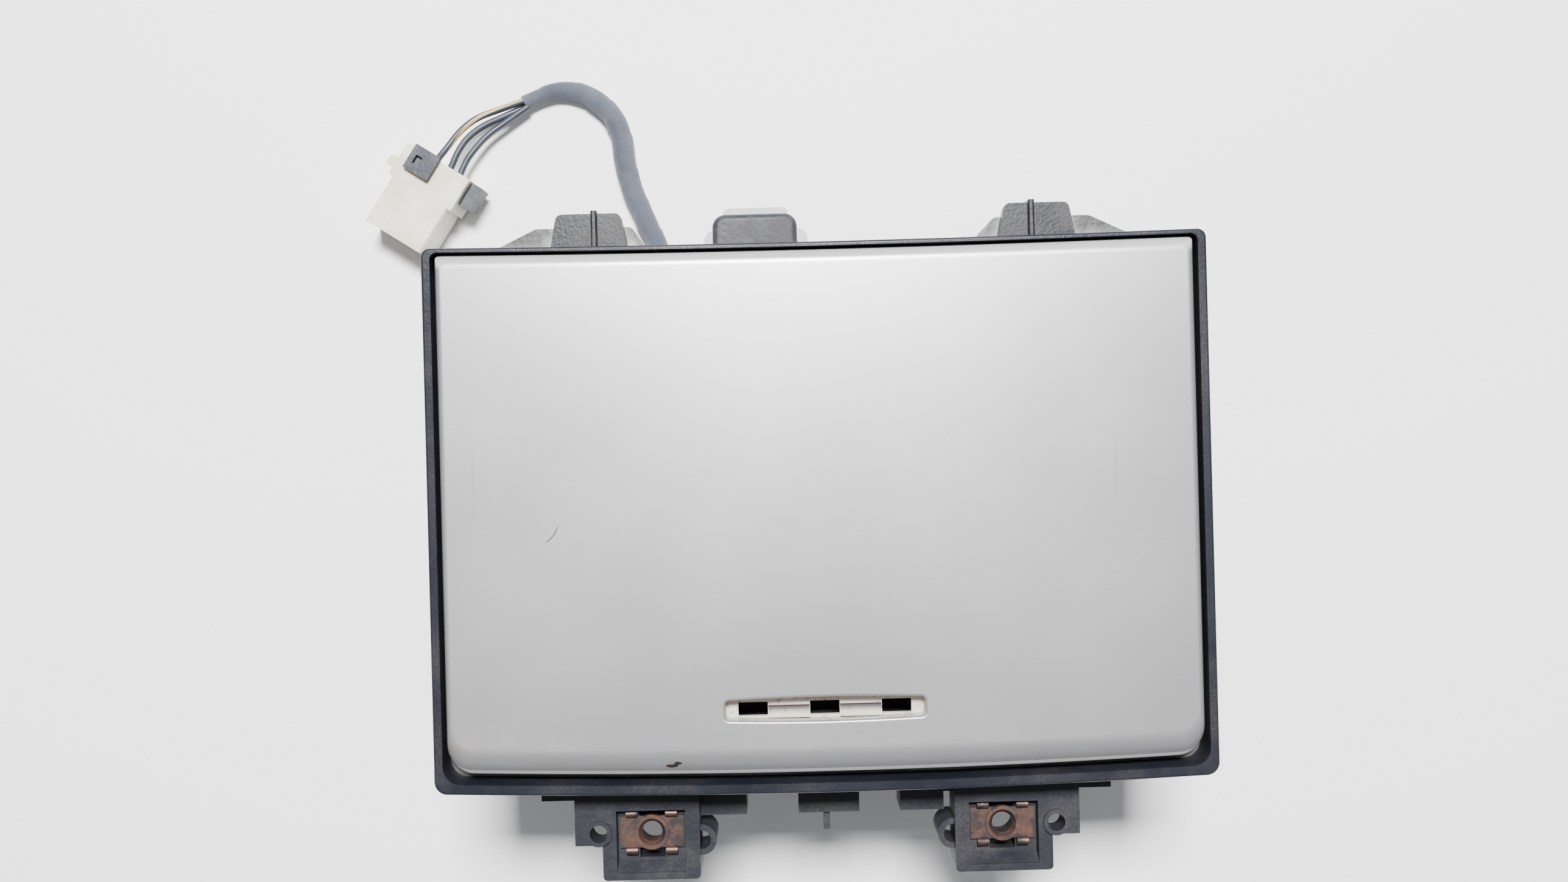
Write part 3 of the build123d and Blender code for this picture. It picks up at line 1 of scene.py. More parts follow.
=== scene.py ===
# %% [markdown]
# A dashboard ashtray and lighter compartment, seen from straight above with its lid shut.
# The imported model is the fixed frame: its pieces have true sizes and true joints, and each one
# that already has the right shape only gets a finish here. The silver lid, the taped harness
# and the wires are made again with finer shapes, and two springs are copied so that they can
# change shape with their joints.
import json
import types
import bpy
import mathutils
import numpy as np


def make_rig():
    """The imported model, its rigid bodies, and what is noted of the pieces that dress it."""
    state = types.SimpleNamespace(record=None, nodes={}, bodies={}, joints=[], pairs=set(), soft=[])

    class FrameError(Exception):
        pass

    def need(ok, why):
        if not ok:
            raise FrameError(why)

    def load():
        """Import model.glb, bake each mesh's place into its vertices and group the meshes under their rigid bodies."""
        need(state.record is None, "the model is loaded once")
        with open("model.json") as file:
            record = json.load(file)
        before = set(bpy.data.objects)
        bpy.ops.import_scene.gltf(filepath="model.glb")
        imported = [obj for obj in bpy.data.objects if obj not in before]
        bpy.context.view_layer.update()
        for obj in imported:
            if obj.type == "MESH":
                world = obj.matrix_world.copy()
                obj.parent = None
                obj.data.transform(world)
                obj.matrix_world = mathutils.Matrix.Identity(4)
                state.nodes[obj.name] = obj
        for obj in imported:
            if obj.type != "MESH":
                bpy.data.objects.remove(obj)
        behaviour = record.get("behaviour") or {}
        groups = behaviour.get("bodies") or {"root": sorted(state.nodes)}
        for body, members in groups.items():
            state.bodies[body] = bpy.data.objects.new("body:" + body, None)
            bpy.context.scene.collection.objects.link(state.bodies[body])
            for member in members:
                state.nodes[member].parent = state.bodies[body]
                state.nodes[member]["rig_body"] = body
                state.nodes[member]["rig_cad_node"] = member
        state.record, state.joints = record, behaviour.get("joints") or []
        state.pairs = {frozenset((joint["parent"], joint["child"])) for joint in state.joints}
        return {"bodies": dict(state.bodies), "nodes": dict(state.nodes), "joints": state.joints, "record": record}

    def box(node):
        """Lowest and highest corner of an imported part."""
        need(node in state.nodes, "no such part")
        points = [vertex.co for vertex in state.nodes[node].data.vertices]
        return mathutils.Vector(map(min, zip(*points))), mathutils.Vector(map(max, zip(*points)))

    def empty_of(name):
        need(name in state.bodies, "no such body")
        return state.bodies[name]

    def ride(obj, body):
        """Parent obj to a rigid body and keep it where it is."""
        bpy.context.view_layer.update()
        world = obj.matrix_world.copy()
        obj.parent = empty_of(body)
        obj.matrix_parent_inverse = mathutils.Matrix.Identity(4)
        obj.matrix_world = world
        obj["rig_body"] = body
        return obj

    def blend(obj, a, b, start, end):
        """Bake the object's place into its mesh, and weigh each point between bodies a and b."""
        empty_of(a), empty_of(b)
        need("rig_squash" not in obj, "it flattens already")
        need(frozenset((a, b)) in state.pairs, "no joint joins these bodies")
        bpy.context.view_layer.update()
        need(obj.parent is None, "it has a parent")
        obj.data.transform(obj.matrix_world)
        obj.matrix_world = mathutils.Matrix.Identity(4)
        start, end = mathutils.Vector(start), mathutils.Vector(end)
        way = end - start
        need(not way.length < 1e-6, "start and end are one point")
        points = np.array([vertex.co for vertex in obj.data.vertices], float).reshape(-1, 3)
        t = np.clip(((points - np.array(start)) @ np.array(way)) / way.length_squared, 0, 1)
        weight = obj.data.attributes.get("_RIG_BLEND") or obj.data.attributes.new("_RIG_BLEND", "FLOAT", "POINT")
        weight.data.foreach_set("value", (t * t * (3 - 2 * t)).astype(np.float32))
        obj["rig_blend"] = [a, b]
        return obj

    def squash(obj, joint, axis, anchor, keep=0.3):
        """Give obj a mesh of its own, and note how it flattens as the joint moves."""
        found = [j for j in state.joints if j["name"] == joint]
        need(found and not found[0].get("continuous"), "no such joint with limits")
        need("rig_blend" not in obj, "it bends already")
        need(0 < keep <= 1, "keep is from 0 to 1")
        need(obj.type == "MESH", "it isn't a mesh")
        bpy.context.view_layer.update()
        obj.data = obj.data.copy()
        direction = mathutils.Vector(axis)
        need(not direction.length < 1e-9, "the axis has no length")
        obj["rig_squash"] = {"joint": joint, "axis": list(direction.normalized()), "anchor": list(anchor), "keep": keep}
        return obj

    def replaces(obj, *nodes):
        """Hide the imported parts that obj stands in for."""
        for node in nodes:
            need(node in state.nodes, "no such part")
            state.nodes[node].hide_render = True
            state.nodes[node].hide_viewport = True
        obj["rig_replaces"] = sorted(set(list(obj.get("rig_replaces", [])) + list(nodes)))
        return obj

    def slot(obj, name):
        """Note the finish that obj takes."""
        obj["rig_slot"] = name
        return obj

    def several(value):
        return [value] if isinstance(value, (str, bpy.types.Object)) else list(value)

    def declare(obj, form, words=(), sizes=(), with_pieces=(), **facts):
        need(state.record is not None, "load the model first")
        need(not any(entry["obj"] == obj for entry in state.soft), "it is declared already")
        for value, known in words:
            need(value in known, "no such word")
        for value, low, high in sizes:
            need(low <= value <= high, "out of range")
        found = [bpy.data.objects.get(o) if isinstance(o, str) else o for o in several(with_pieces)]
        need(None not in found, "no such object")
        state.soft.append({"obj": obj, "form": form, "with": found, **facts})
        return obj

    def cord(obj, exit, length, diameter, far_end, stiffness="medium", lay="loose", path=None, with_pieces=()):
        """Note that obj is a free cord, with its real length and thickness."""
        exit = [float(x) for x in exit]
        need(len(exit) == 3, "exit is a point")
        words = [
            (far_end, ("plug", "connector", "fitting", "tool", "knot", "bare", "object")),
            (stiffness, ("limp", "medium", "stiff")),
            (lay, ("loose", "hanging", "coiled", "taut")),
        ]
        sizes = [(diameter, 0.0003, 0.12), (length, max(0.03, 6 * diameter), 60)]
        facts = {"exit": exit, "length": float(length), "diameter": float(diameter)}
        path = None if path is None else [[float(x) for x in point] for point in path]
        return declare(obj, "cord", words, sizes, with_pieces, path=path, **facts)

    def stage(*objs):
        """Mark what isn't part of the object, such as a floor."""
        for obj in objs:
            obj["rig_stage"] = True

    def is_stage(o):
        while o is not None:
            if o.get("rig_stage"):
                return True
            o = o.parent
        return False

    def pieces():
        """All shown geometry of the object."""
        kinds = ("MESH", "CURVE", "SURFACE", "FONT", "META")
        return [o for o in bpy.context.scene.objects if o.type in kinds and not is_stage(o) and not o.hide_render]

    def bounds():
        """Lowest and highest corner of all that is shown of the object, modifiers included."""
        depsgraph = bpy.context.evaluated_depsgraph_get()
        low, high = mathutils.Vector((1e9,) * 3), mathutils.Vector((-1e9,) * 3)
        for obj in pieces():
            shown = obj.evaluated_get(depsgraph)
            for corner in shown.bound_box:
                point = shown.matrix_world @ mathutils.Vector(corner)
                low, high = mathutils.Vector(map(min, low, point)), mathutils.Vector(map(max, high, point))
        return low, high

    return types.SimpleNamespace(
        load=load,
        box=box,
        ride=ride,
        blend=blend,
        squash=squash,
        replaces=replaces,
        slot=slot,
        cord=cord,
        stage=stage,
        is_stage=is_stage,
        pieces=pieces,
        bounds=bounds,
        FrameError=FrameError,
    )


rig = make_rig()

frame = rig.load()
cad_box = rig.bounds()

import json
import math

import bmesh
import bpy
from mathutils import Matrix, Vector, kdtree

NODES = frame["nodes"]
MM = 0.001
HALF_PI = math.pi / 2
print("loaded", len(NODES), "nodes on", len(frame["bodies"]), "bodies")

# %% [markdown]
# The camera looks straight down, three hundred millimetres above the lid, a little turned about
# its own axis. A short lens this close shows the far ends of the wide box smaller than the lid,
# so the walls behind the hinge edge come into view.

# %% Camera
CAMERA_AT = Vector((-7.8, 22.7, 372.0)) * MM
CAMERA_ROLL = math.radians(-1.5)
LENS = 30.4
SENSOR_WIDTH = 36.0
NEAREST = 10 * MM
camera_data = bpy.data.cameras.new("camera")
camera_data.lens = LENS
camera_data.sensor_width = SENSOR_WIDTH
camera_data.clip_start = NEAREST
camera = bpy.data.objects.new("camera", camera_data)
camera.location = CAMERA_AT
camera.rotation_euler = (0.0, 0.0, CAMERA_ROLL)
bpy.context.scene.collection.objects.link(camera)
bpy.context.scene.camera = camera
print("camera", round(camera.location.z, 3), "m above the table")

# %% [markdown]
# The harness is a cord: three wires run out of the rear case inside cloth tape and end in a
# plug. Each is a NURBS line through the points of its route, so it bends as one smooth curve.
# A bevelled copy of the line is turned into a mesh, which keeps a UV map that runs along and
# around it, and the tape and the tracer stripe follow that map.

# %% Routes of the harness and its wires, in millimetres
ROUTES = {
    "harness_tape": [
        (-38.5, 54.2, 8.0), (-38.5, 65.7, 8.0), (-41.0, 77.0, 4.6), (-45.6, 87.3, 3.3),
        (-48.9, 95.2, 3.1), (-50.1, 102.4, 3.1), (-51.0, 110.65, 3.1), (-55.4, 117.7, 3.1),
        (-62.6, 121.85, 3.1), (-70.9, 122.1, 3.1), (-77.6, 118.6, 3.6),
    ],
    "wire_with_tracer": [
        (-76.8, 119.2, 4.4), (-84.4, 116.4, 5.4), (-90.4, 114.0, 6.8),
        (-94.9, 110.0, 8.0), (-97.8, 105.6, 9.2), (-101.1, 101.9, 9.2), (-103.4, 97.5, 8.8),
    ],
    "wire_beside": [
        (-76.4, 118.4, 2.6), (-83.2, 114.9, 3.8), (-88.6, 112.3, 5.4),
        (-92.9, 108.8, 6.6), (-95.7, 104.6, 7.2), (-97.4, 100.6, 7.2), (-100.2, 95.3, 7.0),
    ],
    "wire_apart": [
        (-76.4, 117.4, 4.2), (-82.6, 113.2, 4.4), (-87.7, 109.7, 5.0),
        (-91.5, 105.3, 5.8), (-94.4, 101.2, 6.0), (-97.4, 93.5, 6.1),
    ],
}
TAPE_D = 5.8 * MM
WIRE_D = 1.8 * MM


def link(obj):
    bpy.context.scene.collection.objects.link(obj)
    return obj


def route_curve(name, radius, steps, sides):
    """One open NURBS line through a route, with a round bevel."""
    data = bpy.data.curves.new(name + "_line", "CURVE")
    data.dimensions = "3D"
    spline = data.splines.new("NURBS")
    points = ROUTES[name]
    spline.points.add(len(points) - 1)
    for point, at in zip(spline.points, points):
        point.co = (at[0] * MM, at[1] * MM, at[2] * MM, 1.0)
    spline.order_u = 3
    spline.use_endpoint_u = True
    spline.resolution_u = steps
    data.resolution_u = steps
    data.bevel_depth = radius
    data.bevel_resolution = sides
    data.use_fill_caps = True
    return link(bpy.data.objects.new(name + "_line", data))


def line_points(curve):
    """The line itself, read from the curve with no bevel."""
    depth = curve.data.bevel_depth
    curve.data.bevel_depth = 0.0
    bpy.context.view_layer.update()
    mesh = bpy.data.meshes.new_from_object(
        curve.evaluated_get(bpy.context.evaluated_depsgraph_get()))
    points = [v.co.copy() for v in mesh.vertices]
    curve.data.bevel_depth = depth
    bpy.context.view_layer.update()
    bpy.data.meshes.remove(mesh)
    return points


def line_lengths(points):
    """How far along the line each point is."""
    total = 0.0
    along = [0.0]
    for a, b in zip(points, points[1:]):
        total += (b - a).length
        along.append(total)
    return along


# %% Make a tube from each route
def tube_piece(name, radius, swell, steps=16, sides=6):
    """A mesh tube along a route; swell(along, turn, length) scales its radius.

    Every vertex looks up the nearest point of the line, and moves in or out from it."""
    curve = route_curve(name, radius, steps, sides)
    points = line_points(curve)
    along = line_lengths(points)
    finder = kdtree.KDTree(len(points))
    for i, point in enumerate(points):
        finder.insert(point, i)
    finder.balance()
    mesh = bpy.data.meshes.new_from_object(
        curve.evaluated_get(bpy.context.evaluated_depsgraph_get()))
    mesh.name = name
    last = len(points) - 1
    for vertex in mesh.vertices:
        centre, i, _ = finder.find(vertex.co)
        ahead = points[min(i + 1, last)] - points[max(i - 1, 0)]
        side = ahead.cross(Vector((0, 0, 1))).normalized()
        out = vertex.co - centre
        turn = math.atan2(out.z, out.dot(side)) / math.tau
        vertex.co = centre + out * swell(along[i], turn, along[-1])
    mesh.polygons.foreach_set("use_smooth", [True] * len(mesh.polygons))
    bpy.data.objects.remove(curve)
    piece = link(bpy.data.objects.new(name, mesh))
    print(name, "is", round(along[-1] * 1000, 1), "mm long with", len(mesh.vertices), "vertices")
    return piece, points, along[-1]


# %% [markdown]
# The tape is wound in a spiral, each turn half over the last, so its edge makes a small step
# that climbs round the bundle. It is tight where the wires come out, and a little fat at the
# bend, where several turns lie on each other.

# %% Wind the tape
TAPE_PITCH = 9.5 * MM
TAPE_STEP = 0.07
TAPE_RISE = 0.93
TAPE_FALL = 0.07
TAPE_THINNEST = 0.95
BULGE = 0.05
BULGE_AT = 0.55
BULGE_WIDTH = 0.16
LUMPS = ((0.018, 31.0, 6.0), (0.012, 77.0, 0.0))
TAPER_FROM = 0.72
TAPER_TO = 0.66
TAPE_LINE_STEPS = 28
TAPE_SIDES = 12


def tape_swell(along, turn, length):
    """How fat the tape is: a lap that rises and drops once a pitch, a bulge and a taper."""
    part = along / length
    lap = (along / TAPE_PITCH + turn) % 1.0
    ramp = lap / TAPE_RISE if lap < TAPE_RISE else (1.0 - lap) / TAPE_FALL
    bulge = BULGE * math.exp(-((part - BULGE_AT) / BULGE_WIDTH) ** 2)
    lumps = sum(high * math.sin(part * waves + turn * twist) for high, waves, twist in LUMPS)
    taper = 1.0
    if part > TAPER_FROM:
        ease = (part - TAPER_FROM) / (1.0 - TAPER_FROM)
        taper = 1.0 + (TAPER_TO - 1.0) * ease * ease * (3.0 - 2.0 * ease)
    return (TAPE_THINNEST + TAPE_STEP * ramp + bulge + lumps) * taper


def plain_swell(along, turn, length):
    """A wire is the same all along and all round."""
    return 1.0


tape, tape_line, tape_length = tube_piece("harness_tape", TAPE_D / 2, tape_swell,
                                          TAPE_LINE_STEPS, TAPE_SIDES)
wires = {}
for wire in ("wire_with_tracer", "wire_beside", "wire_apart"):
    wires[wire] = tube_piece(wire, WIRE_D / 2, plain_swell)

# %% [markdown]
# Every finish is a small tree of shader nodes. Two helpers keep the trees readable: add makes
# a node and plugs in its inputs, and effect_group makes a reusable effect with named sockets.
# An effect gives out only colours, masks and heights, and the shader stays in each material.

# %% Helpers for shader nodes
def add(tree, kind, inputs=None, **settings):
    """A new node; an input that is a socket is linked, any other is a plain value."""
    node = tree.nodes.new(kind)
    for key, value in settings.items():
        setattr(node, key, value)
    for key, value in (inputs or {}).items():
        if isinstance(value, bpy.types.NodeSocket):
            tree.links.new(value, node.inputs[key])
        else:
            node.inputs[key].default_value = value
    return node


def blend_colour(tree, mask, low, high):
    node = add(tree, "ShaderNodeMix", data_type="RGBA")
    for at, value in ((0, mask), (6, low), (7, high)):
        if isinstance(value, bpy.types.NodeSocket):
            tree.links.new(value, node.inputs[at])
        else:
            node.inputs[at].default_value = value
    return node.outputs[2]


def maths(tree, operation, a, b=0.0, clamp=False):
    return add(tree, "ShaderNodeMath", {0: a, 1: b}, operation=operation,
               use_clamp=clamp).outputs[0]


def between(tree, value, low, high, to_low=0.0, to_high=1.0):
    """A smooth ramp of a value from low to high."""
    return add(tree, "ShaderNodeMapRange",
               {0: value, 1: low, 2: high, 3: to_low, 4: to_high},
               interpolation_type="SMOOTHSTEP").outputs[0]


def effect_group(name, inputs, outputs):
    group = bpy.data.node_groups.new(name, "ShaderNodeTree")
    for label, kind, value in inputs:
        socket = group.interface.new_socket(label, in_out="INPUT", socket_type=kind)
        socket.default_value = value
    for label, kind in outputs:
        group.interface.new_socket(label, in_out="OUTPUT", socket_type=kind)
    return group, group.nodes.new("NodeGroupInput"), group.nodes.new("NodeGroupOutput")


FLOAT = "NodeSocketFloat"
COLOUR = "NodeSocketColor"

# %% Effect: moulded grain
grain_group, given, result = effect_group(
    "moulded grain", [("Scale", FLOAT, 900.0)], [("Height", FLOAT), ("Mottle", FLOAT)])
place = add(grain_group, "ShaderNodeTexCoord")
fine = add(grain_group, "ShaderNodeTexNoise",
           {"Vector": place.outputs["Object"], "Scale": given.outputs["Scale"],
            "Detail": 3.0, "Roughness": 0.6})
pits = add(grain_group, "ShaderNodeTexVoronoi",
           {"Vector": place.outputs["Object"], "Scale": given.outputs["Scale"]})
both = maths(grain_group, "ADD", fine.outputs[0], pits.outputs[0])
broad = add(grain_group, "ShaderNodeTexNoise",
            {"Vector": place.outputs["Object"], "Scale": 45.0, "Detail": 5.0})
grain_group.links.new(both, result.inputs["Height"])
grain_group.links.new(broad.outputs[0], result.inputs["Mottle"])

# %% Effect: dust that settles in patches and in corners
dust_group, given, result = effect_group(
    "settled dust",
    [("Under", COLOUR, (0.1, 0.1, 0.1, 1)), ("Dust", COLOUR, (0.4, 0.37, 0.33, 1)),
     ("Amount", FLOAT, 0.5), ("Patch", FLOAT, 60.0), ("Reach", FLOAT, 0.5)],
    [("Color", COLOUR), ("Mask", FLOAT)])
place = add(dust_group, "ShaderNodeTexCoord")
patches = add(dust_group, "ShaderNodeTexNoise",
              {"Vector": place.outputs["Object"], "Scale": given.outputs["Patch"],
               "Detail": 6.0, "Roughness": 0.62})
specks = add(dust_group, "ShaderNodeTexNoise",
             {"Vector": place.outputs["Object"], "Scale": 1500.0, "Detail": 2.0})
corner = add(dust_group, "ShaderNodeAmbientOcclusion", {"Distance": 0.003}, samples=6)
shut_in = between(dust_group, corner.outputs["AO"], 0.35, 0.95, 1.0, 0.0)
patchy = between(dust_group, patches.outputs[0], 0.42, 0.68)
speckled = between(dust_group, specks.outputs[0], 0.35, 0.7, 0.45, 1.0)
film = maths(dust_group, "MULTIPLY", patchy, speckled)
gathered = maths(dust_group, "MULTIPLY", shut_in, given.outputs["Reach"])
film = maths(dust_group, "ADD", film, gathered, True)
film = maths(dust_group, "MULTIPLY", film, given.outputs["Amount"], True)
mixed = blend_colour(dust_group, film, given.outputs["Under"], given.outputs["Dust"])
dust_group.links.new(mixed, result.inputs["Color"])
dust_group.links.new(film, result.inputs["Mask"])

# %% Effect: fine scratches
scratch_group, given, result = effect_group(
    "fine scratches", [("Amount", FLOAT, 0.5), ("Turn", FLOAT, 0.0)], [("Mask", FLOAT)])
place = add(scratch_group, "ShaderNodeTexCoord")
turned = add(scratch_group, "ShaderNodeVectorRotate",
             {"Vector": place.outputs["Object"], "Angle": given.outputs["Turn"]},
             rotation_type="Z_AXIS")
drawn = add(scratch_group, "ShaderNodeMapping",
            {"Vector": turned.outputs[0], "Scale": (900.0, 25.0, 25.0)})
streaks = add(scratch_group, "ShaderNodeTexNoise",
              {"Vector": drawn.outputs[0], "Scale": 1.0, "Detail": 2.0})
where = add(scratch_group, "ShaderNodeTexNoise",
            {"Vector": place.outputs["Object"], "Scale": 35.0, "Detail": 3.0})
thin = between(scratch_group, streaks.outputs[0], 0.66, 0.74)
here = between(scratch_group, where.outputs[0], 0.5, 0.66)
mask = maths(scratch_group, "MULTIPLY", thin, here)
mask = maths(scratch_group, "MULTIPLY", mask, given.outputs["Amount"], True)
scratch_group.links.new(mask, result.inputs["Mask"])
print("effects", [g.name for g in bpy.data.node_groups])


# %% A material that starts from grain and dust
def new_material(name, **sockets):
    made = bpy.data.materials.new(name)
    made.use_nodes = True
    shader = made.node_tree.nodes["Principled BSDF"]
    for key, value in sockets.items():
        shader.inputs[key.replace("_", " ")].default_value = value
    return made, made.node_tree, shader


def place_group(tree, group, **inputs):
    node = add(tree, "ShaderNodeGroup", node_tree=group)
    for key, value in inputs.items():
        if isinstance(value, bpy.types.NodeSocket):
            tree.links.new(value, node.inputs[key])
        else:
            node.inputs[key].default_value = value
    return node


def bump(tree, shader, height, distance, strength=1.0):
    node = add(tree, "ShaderNodeBump",
               {"Height": height, "Distance": distance, "Strength": strength})
    tree.links.new(node.outputs[0], shader.inputs["Normal"])


def worn_finish(name, colour, dust, amount, rough, scale=900.0, depth=0.00004, patch=60.0,
                reach=0.5, scratch=0.25, rough_spread=0.12, dust_and_sheen_past=None, past_amount=0.9,
                **sockets):
    """A moulded or metal surface with grain, dust in its corners and light scratches.

    Beyond the height dust_and_sheen_past, towards the hinge side, the dust is past_amount instead; where that layer is
    pale, it is dust and also a painted sheen standing in for light glancing off walls that face it."""
    made, tree, shader = new_material(name, **sockets)
    grain = place_group(tree, grain_group, Scale=scale)
    darker = tuple(0.78 * c for c in colour) + (1.0,)
    lighter = tuple(min(1.0, 1.18 * c) for c in colour) + (1.0,)
    base = blend_colour(tree, grain.outputs["Mottle"], darker, lighter)
    marks = place_group(tree, scratch_group, Amount=scratch, Turn=0.6)
    pale = tuple(min(1.0, 2.2 * c + 0.02) for c in colour) + (1.0,)
    base = blend_colour(tree, marks.outputs["Mask"], base, pale)
    if dust_and_sheen_past is not None:
        place = add(tree, "ShaderNodeTexCoord").outputs["Object"]
        height = add(tree, "ShaderNodeSeparateXYZ", {"Vector": place}).outputs["Y"]
        amount = between(tree, height, dust_and_sheen_past, dust_and_sheen_past + 1.5 * MM, amount, past_amount)
    dusty = place_group(tree, dust_group, Under=base, Dust=dust + (1.0,), Amount=amount,
                        Patch=patch, Reach=reach)
    tree.links.new(dusty.outputs["Color"], shader.inputs["Base Color"])
    uneven = between(tree, grain.outputs["Mottle"], 0.3, 0.7, rough - rough_spread / 2,
                     rough + rough_spread / 2)
    uneven = maths(tree, "ADD", uneven, maths(tree, "MULTIPLY", dusty.outputs["Mask"], 0.35),
                   True)
    tree.links.new(uneven, shader.inputs["Roughness"])
    bump(tree, shader, grain.outputs["Height"], depth)
    return made


# %% [markdown]
# The housing is black moulded plastic gone dull with age: a fine grain, a bluish bloom on top
# and pale dust in the corners. The parts that faced the dashboard's inside carry far more dust; on the housing's walls
# towards the hinge side, that thick pale layer is also a painted sheen of the light glancing off walls that face it.

# %% Plastics and metals of the housing
BROWN_DUST = (0.085, 0.068, 0.060)
# pale grey dust; on the housing's rear walls the same colour also stands in for a painted sheen of glancing light
GREY_DUST_AND_SHEEN = (0.44, 0.43, 0.41)
TONGUES_FROM = 68.6 * MM
BAYS_FROM = 66.5 * MM
black_plastic = worn_finish("black_plastic", (0.0105, 0.0115, 0.0165), (0.05, 0.047, 0.05),
                            0.45, 0.45, reach=0.3, depth=0.00003, Specular_IOR_Level=0.36)
bezel_plastic = worn_finish("bezel_plastic", (0.0095, 0.011, 0.017), (0.055, 0.047, 0.045),
                            0.3, 0.36, scale=1300.0, depth=0.00002, reach=0.25, scratch=0.4,
                            dust_and_sheen_past=TONGUES_FROM, past_amount=0.85,
                            Specular_IOR_Level=0.26)
# past BAYS_FROM the pale grey layer is dust and also painted sheen: light glancing off the top walls, painted into the
# colour
shell_plastic = worn_finish("shell_plastic", (0.012, 0.0125, 0.017), GREY_DUST_AND_SHEEN, 0.12, 0.5,
                            reach=0.5, patch=75.0, dust_and_sheen_past=BAYS_FROM, past_amount=1.0)
hood_plastic = worn_finish("hood_plastic", (0.020, 0.024, 0.033), BROWN_DUST, 0.7, 0.42,
                           reach=0.3, patch=90.0, Specular_IOR_Level=0.24)
holder_plastic = worn_finish("holder_plastic", (0.42, 0.43, 0.44), (0.60, 0.59, 0.56), 0.7,
                             0.65, patch=70.0, reach=0.4)
inside_plastic = worn_finish("inside_plastic", (0.012, 0.012, 0.014), (0.11, 0.10, 0.09), 0.4,
                             0.5, reach=0.7)
zinc_steel = worn_finish("zinc_steel", (0.52, 0.53, 0.55), (0.30, 0.26, 0.21), 0.35, 0.33,
                         Metallic=1.0, scale=700.0, depth=0.00001)
liner_steel = worn_finish("liner_steel", (0.44, 0.43, 0.42), (0.10, 0.085, 0.07), 0.85, 0.42,
                          Metallic=1.0, patch=40.0, reach=0.9, depth=0.00002)
spring_steel = worn_finish("spring_steel", (0.36, 0.37, 0.39), (0.14, 0.11, 0.08), 0.4, 0.3,
                           Metallic=1.0)
chrome = worn_finish("chrome", (0.78, 0.79, 0.80), (0.22, 0.18, 0.15), 0.35, 0.14,
                     Metallic=1.0, depth=0.000004, rough_spread=0.08)
brass = worn_finish("brass", (0.62, 0.45, 0.18), (0.20, 0.14, 0.08), 0.5, 0.34, Metallic=1.0,
                    depth=0.00001)
acetal = worn_finish("acetal", (0.66, 0.65, 0.61), (0.35, 0.32, 0.28), 0.4, 0.36,
                     depth=0.00001)
rubber = worn_finish("rubber", (0.022, 0.022, 0.023), (0.20, 0.19, 0.18), 0.5, 0.8,
                     depth=0.00005)
knob_plastic = worn_finish("knob_plastic", (0.018, 0.018, 0.020), (0.20, 0.18, 0.16), 0.3,
                           0.3, depth=0.00001)
ceramic = worn_finish("ceramic", (0.62, 0.58, 0.52), (0.12, 0.08, 0.06), 0.7, 0.75)
print("finishes", len(bpy.data.materials))


# %% Copper-coloured clip nuts, tarnished darker in patches
def copper_finish():
    made, tree, shader = new_material("copper_clip", Metallic=0.82)
    grain = place_group(tree, grain_group, Scale=420.0)
    place = add(tree, "ShaderNodeTexCoord")
    stain = add(tree, "ShaderNodeTexNoise",
                {"Vector": place.outputs["Object"], "Scale": 260.0, "Detail": 6.0,
                 "Roughness": 0.65})
    tarnish = between(tree, stain.outputs[0], 0.40, 0.60)
    base = blend_colour(tree, tarnish, (0.145, 0.082, 0.064, 1), (0.040, 0.032, 0.034, 1))
    dusty = place_group(tree, dust_group, Under=base, Dust=(0.05, 0.042, 0.042, 1), Amount=0.6,
                        Patch=180.0, Reach=0.7)
    tree.links.new(dusty.outputs["Color"], shader.inputs["Base Color"])
    rough = between(tree, stain.outputs[0], 0.35, 0.65, 0.42, 0.66)
    tree.links.new(rough, shader.inputs["Roughness"])
    bump(tree, shader, grain.outputs["Height"], 0.00004)
    return made


copper_clip = copper_finish()


# %% [markdown]
# The plug is natural nylon, which lets light into it, so it glows a little at its thick parts
# and yellows with age. Subsurface scattering gives that, with a faint clouding from noise.

# %% Ivory nylon, the amber bulb glass and the lens
def nylon_finish():
    made, tree, shader = new_material("ivory_nylon", Subsurface_Weight=0.45,
                                      Subsurface_Scale=0.004, IOR=1.53)
    shader.inputs["Subsurface Radius"].default_value = (1.0, 0.82, 0.55)
    place = add(tree, "ShaderNodeTexCoord")
    cloud = add(tree, "ShaderNodeTexNoise",
                {"Vector": place.outputs["Object"], "Scale": 130.0, "Detail": 4.0})
    aged = between(tree, cloud.outputs[0], 0.35, 0.68)
    base = blend_colour(tree, aged, (0.74, 0.725, 0.655, 1), (0.64, 0.60, 0.47, 1))
    dusty = place_group(tree, dust_group, Under=base, Dust=(0.45, 0.40, 0.31, 1), Amount=0.5,
                        Patch=150.0, Reach=0.7)
    tree.links.new(dusty.outputs["Color"], shader.inputs["Base Color"])
    tree.links.new(between(tree, cloud.outputs[0], 0.3, 0.7, 0.34, 0.5),
                   shader.inputs["Roughness"])
    grain = place_group(tree, grain_group, Scale=600.0)
    bump(tree, shader, grain.outputs["Height"], 0.00002)
    return made


def clear_finish(name, tint, rough):
    made, tree, shader = new_material(name, Transmission_Weight=1.0, IOR=1.5)
    place = add(tree, "ShaderNodeTexCoord")
    film = add(tree, "ShaderNodeTexNoise",
               {"Vector": place.outputs["Object"], "Scale": 300.0, "Detail": 3.0})
    low = tuple(0.85 * c for c in tint) + (1.0,)
    base = blend_colour(tree, film.outputs[0], low, tint + (1.0,))
    tree.links.new(base, shader.inputs["Base Color"])
    tree.links.new(between(tree, film.outputs[0], 0.3, 0.7, rough, rough + 0.12),
                   shader.inputs["Roughness"])
    return made


